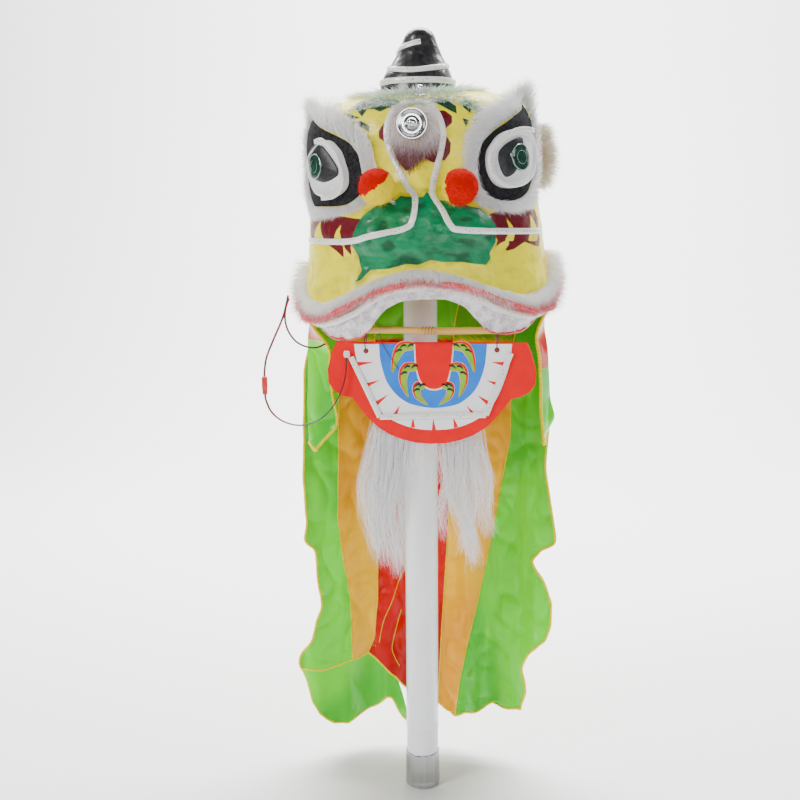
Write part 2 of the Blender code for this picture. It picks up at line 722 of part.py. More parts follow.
# Skull: an open sheet from crown to rim, made solid inwards
built = bmesh.new()
loops = []
for row in [entry[0] for entry in SKULL_ROWS[1:]]:
    points = [skull_point(-180 + 360 * i / SHELL_STEPS, row) for i in range(SHELL_STEPS)]
    loops.append([built.verts.new(point) for point in points])
crown = built.verts.new((0, 0, CROWN_Z))
for i in range(SHELL_STEPS):
    k = (i + 1) % SHELL_STEPS
    built.faces.new((crown, loops[0][i], loops[0][k]))
    for upper, lower in zip(loops, loops[1:]):
        built.faces.new((upper[i], lower[i], lower[k], upper[k]))
bmesh.ops.triangulate(built, faces=built.faces)
shell = mesh_object("head_shell", built)
thick = shell.modifiers.new("Wall", "SOLIDIFY")
thick.thickness = WALL
thick.offset = -1
thick.use_even_offset = True
add(shell, YELLOW, head)
bpy.context.view_layer.update()
shell_skin = surface_of(shell)
on_shell = [shell_skin]

# Pole and ferrule. The pole's top lies just under the crown inside the rolled skull
under_crown = []
for i in range(24):
    turn = math.radians(15 * i)
    foot = Vector((POLE_RADIUS * math.cos(turn), POLE_RADIUS * math.sin(turn), 0.9))
    back = shell.matrix_world.inverted()
    up = back.to_3x3() @ Vector((0, 0, 1))
    hit = shell_skin.ray_cast(back @ foot, up)[0]
    under_crown.append((shell.matrix_world @ hit).z)
pole_top = min(under_crown) - GAP * 1.5
pole_foot = FERRULE_FLOOR + GAP
add(turned("pole", (
    (0, pole_top), (POLE_RADIUS, pole_top), (POLE_RADIUS, pole_foot), (0, pole_foot),
), POLE_SIDES), PVC)
sleeve = POLE_RADIUS + GAP
add(turned("pole_ferrule", (
    (0, FERRULE_FLOOR), (sleeve, FERRULE_FLOOR), (sleeve, FERRULE_HEIGHT),
    (sleeve + FERRULE_WALL, FERRULE_HEIGHT), (sleeve + FERRULE_WALL, 0), (0, 0),
), POLE_SIDES), STEEL)

# Horn with its two light strips, the fur collar and the small bell in front of it
def horn_lean(z):
    share = max(0.0, (z - CROWN_Z) / HORN_HEIGHT)
    return -HORN_LEAN * share * share


def horn_radius(z):
    """Radius of the horn's outer side at a height above the floor."""
    share = (z - CROWN_Z) / HORN_HEIGHT
    for low, high in zip(HORN_ROWS, HORN_ROWS[1:]):
        if share >= high[1]:
            return HORN_RADIUS * mixed(low[0], high[0], (low[1] - share) / (low[1] - high[1]))
    return HORN_RADIUS


bottom, top = [], []
for radius_share, height_share in HORN_ROWS:
    low, high = [], []
    for i in range(HORN_SIDES):
        turn = 2 * math.pi * i / HORN_SIDES
        x = HORN_RADIUS * radius_share * math.cos(turn)
        y = HORN_Y + HORN_RADIUS * radius_share * math.sin(turn)
        start, ahead = from_above(x, y)
        z = shell_skin.ray_cast(start, ahead)[0].z + GAP + 0.0004
        peak = CROWN_Z + HORN_HEIGHT * height_share
        low.append(Vector((x, y, z)))
        high.append(Vector((x, y + horn_lean(peak), peak)))
    bottom.append(low)
    top.append(high)
add(grid_solid("horn", bottom, top, True), BLACK_FELT, head)


def horn_band(name, route):
    """Ribbon standing on the horn's side. Route: degrees from the front, share of its height."""
    low, high = [], []
    for turn, share in route:
        angle = math.radians(turn)
        inner_row, outer_row = [], []
        for edge in (-0.5, 0.5):
            z = CROWN_Z + HORN_HEIGHT * share + edge * STRIP_WIDTH
            for rows, extra in ((inner_row, 0.0), (outer_row, STRIP_THICK)):
                reach = horn_radius(z) + GAP + 0.0006 + extra
                y = HORN_Y + horn_lean(z) - reach * math.cos(angle)
                rows.append(Vector((reach * math.sin(angle), y, z)))
        low.append(inner_row)
        high.append(outer_row)
    return grid_solid(name, low, high)


spiral = [(-100 + 18 * i, 0.40 - 0.0011 * 18 * i) for i in range(6)]
spiral += [(-10 + 18 * i, 0.29 + 0.00122 * 18 * i) for i in range(1, 22)]
add(horn_band("horn_light_strip", spiral), STRIP_WHITE, head)

low, high = [], []
for i in range(HORN_SIDES):
    turn = 2 * math.pi * i / HORN_SIDES
    for rows, extra in ((low, 0.0), (high, STRIP_THICK)):
        reach = HORN_RADIUS + GAP + 0.0002 + extra
        x, y = reach * math.cos(turn), HORN_Y + reach * math.sin(turn)
        band_foot = CROWN_Z + HORN_HEIGHT * 0.20 - STRIP_WIDTH
        rows.append([Vector((x, y, band_foot)), Vector((x, y, band_foot + STRIP_WIDTH))])
low = [[row[0] for row in low], [row[1] for row in low]]
high = [[row[0] for row in high], [row[1] for row in high]]
add(grid_solid("horn_base_strip", low, high, True), STRIP_WHITE, head)

collar_rows = []
for share in (0.0, 0.5, 1.0):
    ring = []
    for i in range(COLLAR_SIDES):
        turn = 2 * math.pi * i / COLLAR_SIDES
        wide = COLLAR_REACH * (0.28 + 0.72 * abs(math.cos(turn)))
        inner = HORN_RADIUS + STRIP_THICK + 3 * GAP
        reach = inner + wide * share
        ring.append((reach * math.cos(turn), HORN_Y + reach * math.sin(turn)))
    collar_rows.append(ring)
COLLAR_FUR = (0.0085, 0.0090, 0.0030)
add(seated("horn_fur_collar", collar_rows, from_above, on_shell,
           lambda i, j: COLLAR_FUR[i], True), WHITE_FUR, head)

spot, normal, _, _ = shell_skin.ray_cast(*from_front(0.003, BELL_Z))
bell = turned("crown_bell", (
    (0, BELL_RADIUS * 3.2), (BELL_RADIUS * 0.7, BELL_RADIUS * 2.9),
    (BELL_RADIUS, BELL_RADIUS * 2.2), (BELL_RADIUS * 0.7, BELL_RADIUS * 1.4),
    (BELL_RADIUS * 0.55, BELL_RADIUS * 0.6), (BELL_BASE_RADIUS, BELL_RADIUS * 0.45),
    (BELL_BASE_RADIUS, 0), (0, 0),
), BELL_SIDES)
bell.location = spot + normal * (GAP + 0.0006)
bell.rotation_euler = normal.to_track_quat("Z", "Y").to_euler()
add(bell, CHROME, head)

# Forehead: fur tuft, mirror dish with its ball
tuft_rows = []
for share, left, right in TUFT_ROWS:
    up = RIM_Z + share * HEAD_HEIGHT
    tuft_rows.append([(mixed(left, right, k / 4) * HALF_HEAD, up) for k in range(5)])
tuft = add(seated("forehead_tuft", tuft_rows, from_front, on_shell,
                  lambda i, j: TUFT_FUR if 0 < j < 4 else TUFT_FUR * 0.6), MAROON_FUR, head)
on_tuft = [surface_of(tuft), shell_skin]
spot, normal, _, _ = on_tuft[0].ray_cast(*from_front(MIRROR_X, MIRROR_Z))
mirror = turned("mirror_dish", (
    (0, MIRROR_WALL), (MIRROR_RADIUS * 0.45, MIRROR_WALL), (MIRROR_RADIUS * 0.6, MIRROR_WALL * 1.6),
    (MIRROR_RADIUS * 0.94, MIRROR_DEPTH), (MIRROR_RADIUS, MIRROR_DEPTH - MIRROR_WALL * 0.5),
    (MIRROR_RADIUS * 0.62, 0.0003), (MIRROR_RADIUS * 0.45, 0), (0, 0),
), MIRROR_SIDES)
mirror.location = spot + normal * (GAP + 0.0004)
mirror.rotation_euler = normal.to_track_quat("Z", "Y").to_euler()
add(mirror, CHROME, head)
built = bmesh.new()
bmesh.ops.create_uvsphere(built, u_segments=12, v_segments=6, radius=BALL_RADIUS)
ball = mesh_object("mirror_ball", built, 80)
ball.location = spot + normal * (GAP * 2 + 0.0004 + MIRROR_WALL + BALL_RADIUS)
add(ball, CHROME, head)

# Light strip over the face
path = [Vector((across * HALF_HEAD, RIM_Z + up * HEAD_HEIGHT)) for across, up in FACE_STRIP_ROWS]
path = [point.xy for point in open_curve([point.to_3d() for point in path], FACE_STRIP_POINTS)]
on_face = [shell_skin, on_tuft[0]]
add(seated("face_light_strip", ribbon_rows(path, STRIP_WIDTH), from_front, on_face,
           lambda i, j: STRIP_THICK, lift=0.0004), STRIP_WHITE, head)

# Eyes
for side, hand in ((-1, "left"), (1, "right")):
    place = eye_place(side)
    outline, ring = [], []
    for out, up, fur in FELT_ROWS:
        spot = Vector((out * EYE_WIDTH / 2, up * EYE_TALL / 2))
        outline.append(spot.to_3d())
        ring.append((spot + spot.normalized() * fur * EYE_TALL).to_3d())
    outline = [point.xy for point in closed_curve(outline, FELT_POINTS)]
    ring = [point.xy for point in closed_curve(ring, FELT_POINTS)]
    felt = add(seated("eye_surround_" + hand, rings_of(outline, (0.0, 0.4, 0.75, 1.0)), place, on_shell,
                      lambda i, j: FELT, True, 0.1 + EYE_SINK), BLACK_FELT, head)
    fur_rows = []
    for share in (0.0, 0.5, 1.0):
        line = []
        for inner, outer in zip(outline, ring):
            start = inner + inner.normalized() * GAP * 2.5
            line.append(start.lerp(outer, share))
        fur_rows.append(line)

    def fur_depth(i, j, line=fur_rows):
        high = 0.55 + 0.45 * smooth(line[0][j].y / EYE_TALL + 0.5)
        return (0.008, 0.011, 0.004)[i] * high
    add(seated("brow_fur_" + hand, fur_rows, place, on_shell, fur_depth, True, 0.1 + EYE_SINK),
        WHITE_FUR, head)
    on_felt = [surface_of(felt), shell_skin]
    dish_line = []
    for k in range(DISH_POINTS):
        turn = 2 * math.pi * k / DISH_POINTS
        dish_line.append(Vector((-0.01 * DISH_WIDTH + DISH_WIDTH / 2 * math.cos(turn),
                                 -0.02 * DISH_TALL + DISH_TALL / 2 * math.sin(turn))))
    dish_shares = (0.0, 0.5, 0.86, 1.0)
    dish = add(seated("eye_dish_" + hand, rings_of(dish_line, dish_shares), place, on_felt,
                      lambda i, j: DISH_RISE * (1.02 - 0.72 * dish_shares[i] ** 3), True,
                      lift=0.0009),
               EYE_WHITE, head)
    on_dish = [surface_of(dish)]
    iris_line = []
    for out, up in IRIS_ROWS:
        iris_line.append(Vector((out * DISH_WIDTH / 2, up * DISH_TALL / 2, 0)))
    iris_line = [point.xy for point in closed_curve(iris_line, IRIS_POINTS)]
    iris = add(seated("iris_" + hand, rings_of(iris_line, (0.0, 0.55, 1.0)), place, on_dish,
                      lambda i, j: 0.0008, True), IRIS_BLACK, head)
    pupil_line = []
    for k in range(PUPIL_POINTS):
        turn = 2 * math.pi * k / PUPIL_POINTS
        pupil_line.append(Vector((PUPIL_RADIUS * math.cos(turn), PUPIL_RADIUS * math.sin(turn))))
    pupil_shares = (0.0, 0.6, 1.0)
    add(seated("pupil_" + hand, rings_of(pupil_line, pupil_shares), place,
               [surface_of(iris), on_dish[0]],
               lambda i, j: PUPIL_RISE * (1.0 - 0.6 * pupil_shares[i] ** 2), True),
        PUPIL_GREEN, head)
    strip_path = []
    for k in range(EYE_STRIP_POINTS):
        turn = math.radians(mixed(20, 209, k / (EYE_STRIP_POINTS - 1)))
        strip_path.append(Vector((-0.01 * DISH_WIDTH + DISH_WIDTH * 0.444 * math.cos(turn),
                                  DISH_TALL * 0.434 * math.sin(turn))))
    add(seated("eye_light_strip_" + hand, ribbon_rows(strip_path, STRIP_WIDTH * 0.72), place,
               on_dish, lambda i, j: STRIP_THICK), STRIP_WHITE, head)
    strip_path = []
    for point in ring:
        if point.x < -0.5 * EYE_WIDTH / 2 and -0.5 < point.y / (EYE_TALL / 2) < 0.8:
            strip_path.append(point + point.normalized() * (STRIP_WIDTH * 0.5 + 0.001))
    add(seated("brow_light_strip_" + hand, ribbon_rows(strip_path, STRIP_WIDTH), place,
               on_shell, lambda i, j: STRIP_THICK), STRIP_WHITE, head)

# Pompoms, each on a pin that stands on the muzzle
for side, hand, across, up, pin_x, pin_z in (
        (-1, "left", -0.28, 0.58, -0.13, 0.49), (1, "right", 0.38, 0.56, 0.31, 0.47)):
    start, ahead = from_front(across * HALF_HEAD, RIM_Z + up * HEAD_HEIGHT)
    seat = nearest_hit(on_face, start, ahead)
    middle = seat - ahead * (POMPOM_RADIUS + POMPOM_STAND_OFF)
    built = bmesh.new()
    bmesh.ops.create_uvsphere(built, u_segments=POMPOM_SIDES, v_segments=8, radius=POMPOM_RADIUS)
    pompom = mesh_object("pompom_" + hand, built, 80)
    pompom.location = middle
    add(pompom, POMPOM_RED, head)
    start, ahead = from_front(pin_x * HALF_HEAD, RIM_Z + pin_z * HEAD_HEIGHT)
    foot, normal, _, _ = shell_skin.ray_cast(start, ahead)
    way = (middle - foot).normalized()
    pin_foot = foot + normal * (GAP + PIN_RADIUS * 0.7)
    pin_head = middle - way * (POMPOM_RADIUS + GAP)
    add(tube("pompom_pin_" + hand, [pin_foot, pin_foot.lerp(pin_head, 0.5), pin_head],
             PIN_RADIUS), CHROME, head)

# Ears behind the brows: fur backs with a reddish lining
def ear_seat(side, y, z):
    """Reach of the skull's side where the ear's root lies."""
    start = Vector((side * 0.4, y, z))
    return side * shell_skin.ray_cast(start, Vector((-side, 0, 0)))[0].x + GAP * 3


for side, hand, reach in ((-1, "left", 0.55), (1, "right", 1.0)):
    for name, size, lean, colour in (("ear_", 1.0, 0.0, EAR_FUR), ("ear_lining_", 0.62, 1.0, EAR_RED)):
        low, high = [], []
        rows_up = (-0.5, -0.38, -0.14, 0.14, 0.38, 0.5)
        for up in rows_up:
            z = EYE_Z + 0.006 + up * EAR_TALL * size
            full = math.sqrt(max(0.0, 1 - (2.02 * up) ** 2)) * 0.96 + 0.04
            front, back = [], []
            for k in range(5):
                out = EAR_WIDTH * reach * size * full * k / 4
                share = out / (EAR_WIDTH * reach)
                middle = EAR_Y + EAR_SWEEP * share
                half = EAR_THICK / 2 * size * full * (1 - 0.75 * (k / 4) ** 2)
                if lean:
                    half_ear = EAR_THICK / 2 * (1 - 0.75 * share ** 2)
                    ends = (middle - half_ear - GAP * 2 - 0.0022, middle - half_ear - GAP * 2)
                else:
                    ends = (middle - half, middle + half)
                for y, points in zip(ends, (front, back)):
                    points.append(Vector((side * (ear_seat(side, y, z) + out), y, z)))
            low.append(front)
            high.append(back)
        add(grid_solid(name + hand, low, high), colour, head)

# Lip fur along the muzzle's rim
lip_rows = []
LIP_SPAN = 92
for i in range(LIP_STEPS + 1):
    degrees = mixed(-LIP_SPAN, LIP_SPAN, i / LIP_STEPS)
    middle = rim_height(degrees) + HEAD_HEIGHT * ramp(LIP_ROWS, abs(degrees), 1)
    half = HEAD_HEIGHT * ramp(LIP_ROWS, abs(degrees), 2)
    lip_rows.append([(degrees, middle + half * step) for step in (-1, 0.2, 1)])
lip_fur = add(seated("lip_fur", lip_rows, from_round, on_shell,
                     lambda i, j: ramp(LIP_ROWS, abs(mixed(-LIP_SPAN, LIP_SPAN, i / LIP_STEPS)), 3)
                     * (0.9, 1.0, 0.3)[j]), WHITE_FUR, head)

# Gum band under the lip, with its light strip
GUM_SHARES = (0.0, 0.24, 0.46, 1.0)
GUM_DEGREES = (4, 12, 18, 23, 28, 36, 45, 54, 62, 69, 76)
GUM_DEGREES = [-d for d in reversed(GUM_DEGREES)] + list(GUM_DEGREES)


def gum_point(degrees, share, out=0.0):
    """Point of the gum's middle surface, or that far outside it."""
    start = inner_wall(degrees, 0.99, GUM_SHEET / 2 + GUM_INSET)
    top_z = rim_height(degrees) + GUM_TUCK
    low_z = RIM_Z + HEAD_HEIGHT * ramp(GUM_ROWS, abs(degrees), 1)
    scale = 1 - GUM_TURN_IN * share * share + out / start.xy.length
    return Vector((start.x * scale, start.y * scale, mixed(top_z, low_z, share)))


low = [[gum_point(d, s, -GUM_SHEET / 2) for s in GUM_SHARES] for d in GUM_DEGREES]
high = [[gum_point(d, s, GUM_SHEET / 2) for s in GUM_SHARES] for d in GUM_DEGREES]
gum = add(grid_solid("gum_band", low, high), GUM_WHITE, head)
strip_out = GUM_SHEET / 2 + GAP + 0.0001
low = [[gum_point(d, s, strip_out) for s in GUM_SHARES[1:3]] for d in GUM_DEGREES[1:-1]]
high = [[gum_point(d, s, strip_out + STRIP_THICK) for s in GUM_SHARES[1:3]]
        for d in GUM_DEGREES[1:-1]]
add(grid_solid("lip_light_strip", low, high), STRIP_WHITE, head)

# Mouth rod, level in the world, just behind the gum's two ends
bpy.context.view_layer.update()
gum_skin = surface_of(gum)
back = gum.matrix_world.inverted()
walls = []
for end in (-1, 1):
    for up in (-0.8, -0.4, 0, 0.4, 0.8):
        spot = Vector((MOUTH_X + end * ROD_LENGTH / 2, 0.0, ROD_Z + up * ROD_RADIUS))
        hit = gum_skin.ray_cast(back @ spot, back.to_3x3() @ Vector((0, -1, 0)))[0]
        if hit is not None:
            walls.append((gum.matrix_world @ hit).y)
rod_y = max(walls) + ROD_RADIUS + GAP
rod_ends = [Vector((MOUTH_X + end * ROD_LENGTH / 2, rod_y, ROD_Z)) for end in (-1, 0, 1)]
add(tube("mouth_rod", rod_ends, ROD_RADIUS, 3), BAMBOO)

# Jaw board, hung from the rod on loops of string
outline = [(x * JAW_WIDTH / 2, -down * JAW_HEIGHT) for x, down in JAW_ROWS]
outline += [(-x, z) for x, z in reversed(outline[:-1])]
holes = []
for end in (-1, 1):
    turns = [2 * math.pi * k / 12 for k in range(12)]
    holes.append([(end * HOLE_SPACING / 2 + HOLE_RADIUS * math.cos(turn),
                   -HOLE_DROP + HOLE_RADIUS * math.sin(turn)) for turn in turns])
board = plate("jaw_board", [outline] + holes, JAW_BOARD)
board.location = (MOUTH_X, rod_y, JAW_TOP_Z)
add(board, JAW_RED)
board_front = rod_y - JAW_BOARD / 2

path = [Vector((x * JAW_WIDTH / 2, -down * JAW_HEIGHT)) for x, down in JAW_STRIP_ROWS]
left_side, right_side = [], []
for near, far in ribbon_rows(path, STRIP_WIDTH):
    left_side.append(near)
    right_side.append(far)
strip = plate("jaw_light_strip", [left_side + right_side[::-1]], STRIP_THICK)
strip.location = (MOUTH_X, board_front - GAP - STRIP_THICK / 2, JAW_TOP_Z)
add(strip, STRIP_WHITE)

patch_x, patch_z = MOUTH_X - JAW_WIDTH / 2 * 0.80, JAW_TOP_Z - JAW_HEIGHT * 0.13
built = bmesh.new()
bmesh.ops.create_cube(built, size=1.0)
bmesh.ops.scale(built, verts=built.verts, vec=(PATCH_SIZE, 0.003, PATCH_SIZE * 1.1))
patch = mesh_object("jaw_wire_patch", built)
patch.location = (patch_x, board_front - 2 * GAP - STRIP_THICK - 0.0015, patch_z + 0.002)
add(patch, CLEAR)

for hand, x, down in (("left", -HOLE_SPACING / 2, 0), ("right", HOLE_SPACING / 2, 0)):
    hole_z = JAW_TOP_Z - HOLE_DROP + HOLE_RADIUS - STRING_RADIUS - GAP
    points = []
    reach = ROD_RADIUS + STRING_RADIUS + GAP
    low_reach = JAW_BOARD / 2 + STRING_RADIUS + GAP * 2
    points.append((MOUTH_X + x, rod_y + 0.0012, hole_z))
    points.append((MOUTH_X + x, rod_y - low_reach, hole_z + 0.0006))
    for k in range(7):
        turn = math.radians(-20 + k * 200 / 6)
        points.append((MOUTH_X + x, rod_y - reach * math.cos(turn), ROD_Z + reach * math.sin(turn)))
    points.append((MOUTH_X + x, rod_y + low_reach, hole_z + 0.004))
    points.append((MOUTH_X + x, rod_y + low_reach, hole_z))
    add(tube("tie_string_" + hand, points, STRING_RADIUS, 1), STRING)

# Beard: a backing behind the board's lower edge with locks grown together with it
backing_y = rod_y + JAW_BOARD / 2 + GAP + BEARD_HAIR / 2
built = bmesh.new()
bmesh.ops.create_cube(built, size=1.0)
bmesh.ops.scale(built, verts=built.verts, vec=(BEARD_WIDTH, BEARD_HAIR, 0.030))
beard = mesh_object("beard", built)
beard.location = (MOUTH_X + BEARD_X, backing_y, BEARD_TOP_Z)
add(beard, HAIR)
cutters = bpy.data.collections.new("joined_shapes")
bpy.context.scene.collection.children.link(cutters)
for number, (top_x, tip_x, tip_z, wide, deep, away) in enumerate(LOCK_ROWS):
    low_x = beard.location.x + top_x * BEARD_WIDTH / 2
    far_x = beard.location.x + tip_x * BEARD_WIDTH / 2
    built = bmesh.new()
    rings = []
    for k, (share, full) in enumerate(((0, 0.8), (0.25, 1.0), (0.55, 0.85), (0.85, 0.45), (1, 0.10))):
        middle = Vector((mixed(low_x, far_x, share ** 1.3), backing_y + away * share,
                         mixed(BEARD_TOP_Z + 0.006 - 0.001 * number, tip_z, share)))
        ring = []
        for j in range(LOCK_SIDES):
            turn = 2 * math.pi * j / LOCK_SIDES + 0.1 * number
            ring.append(built.verts.new(middle + Vector((
                wide * BEARD_WIDTH * full * math.cos(turn) * 0.62,
                deep * BEARD_WIDTH * full * math.sin(turn) * 0.30, 0))))
        rings.append(ring)
    for near, far in zip(rings, rings[1:]):
        for j in range(LOCK_SIDES):
            k = (j + 1) % LOCK_SIDES
            built.faces.new((near[j], near[k], far[k], far[j]))
    built.faces.new(rings[0])
    built.faces.new(rings[-1])
    lock = mesh_object("lock_shape_%d" % number, built)
    lock.hide_render = True
    lock.display_type = "WIRE"
    cutters.objects.link(lock)
    grown = beard.modifiers.new("Lock", "BOOLEAN")
    grown.operation = "UNION"
    grown.solver = "EXACT"
    grown.object = lock

# Cape: five sewn panels, the hem that shows behind, and the edges turned to the front
down = (0.0, 0.03, 0.09, 0.18, 0.34, 0.52, 0.7, 0.8, 0.9, 1.0)
for k, (name, colour) in enumerate((
        ("cape_green_left", GREEN), ("cape_orange_left", ORANGE), ("cape_red", RED),
        ("cape_orange_right", ORANGE), ("cape_green_right", GREEN))):
    inset = CAPE_SEAM / 2 / CAPE_HALF_WIDTH
    low_u = CAPE_SEAMS[k] + (inset if k else 0)
    high_u = CAPE_SEAMS[k + 1] - (inset if k < 4 else 0)
    count = 7 if k == 2 else 5
    add(cloth(name, cape_point, down, even(low_u, high_u, count)), colour)


def hem_flap_point(u, t):
    x = u * CAPE_HALF_WIDTH
    top_share, low_share = ramp(HEM_FLAP_ROWS, u, 1), ramp(HEM_FLAP_ROWS, u, 2)
    z = CAPE_HEM_Z + mixed(top_share, low_share, t) * (RIM_Z - CAPE_HEM_Z)
    slope_x = (cape_depth(x + 0.001, z) - cape_depth(x - 0.001, z)) / 0.002
    slope_z = (cape_depth(x, z + 0.001) - cape_depth(x, z - 0.001)) / 0.002
    rear = Vector((-slope_x, 1, -slope_z)).normalized()
    return Vector((x, cape_depth(x, z), z)) + rear * (CAPE_CLOTH + GAP * 4 + 0.005 * t)


flap_columns = even(HEM_FLAP_ROWS[0][0], HEM_FLAP_ROWS[-1][0], 13)
add(cloth("cape_hem_flap", hem_flap_point, (0.0, 0.3, 0.6, 1.0), flap_columns), GREEN)

for hand, side, table, start in (("left", -1, LEFT_FLAP_ROWS, 76), ("right", 1, RIGHT_FLAP_ROWS, 78)):
    def flap_point(u, t, side=side, table=table, start=start):
        degrees = side * mixed(start + 16, start, u)
        held = tucked(degrees, FLAP_INSET)
        z = held.z - FLAP_DROP * t
        x = mixed(ramp(table, t, 1), ramp(table, t, 2), u) * CAPE_HALF_WIDTH
        free_y = mixed(0.030, 0.004, u)
        share = smooth((t - 0.03) / 0.3)
        return Vector((mixed(held.x, x, share), mixed(held.y, free_y, share), z))
    add(cloth("side_flap_" + hand, flap_point, (0.0, 0.06, 0.16, 0.34, 0.56, 0.72, 0.82, 0.91, 1.0),
              (0.0, 0.35, 0.7, 1.0)), GREEN)

# Leads: wires from the head to a connector and on to the jaw board, and a spare pair
end_point = (patch_x, patch.location.y, patch.location.z - PATCH_SIZE * 0.55 - GAP)
LEAD_JAW_ROUTE = LEAD_JAW_ROUTE[:-1] + (end_point,)
for name, route, count in (("lead_head", LEAD_HEAD_ROUTE, 13), ("lead_jaw", LEAD_JAW_ROUTE, 27),
                           ("lead_spare", LEAD_SPARE_ROUTE, 13)):
    add(tube(name, open_curve([Vector(point) for point in route], count), LEAD_RADIUS), WIRE)
built = bmesh.new()
bmesh.ops.create_cube(built, size=1.0)
bmesh.ops.scale(built, verts=built.verts,
                vec=(CONNECTOR_WIDTH, CONNECTOR_WIDTH * 0.75, CONNECTOR_LENGTH))
bmesh.ops.bevel(built, geom=built.edges, offset=0.001, segments=1, affect="EDGES", profile=0.5)
plug = mesh_object("lead_connector", built)
connector_top = LEAD_HEAD_ROUTE[-1]
plug.location = (connector_top[0], connector_top[1], connector_top[2] - GAP - CONNECTOR_LENGTH / 2)
add(plug, PLUG)
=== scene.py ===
"""Looks of the lion dance head on its pole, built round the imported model. Metres, +Z up, the face
looks along -Y. The file is an add-on that is run as a script."""

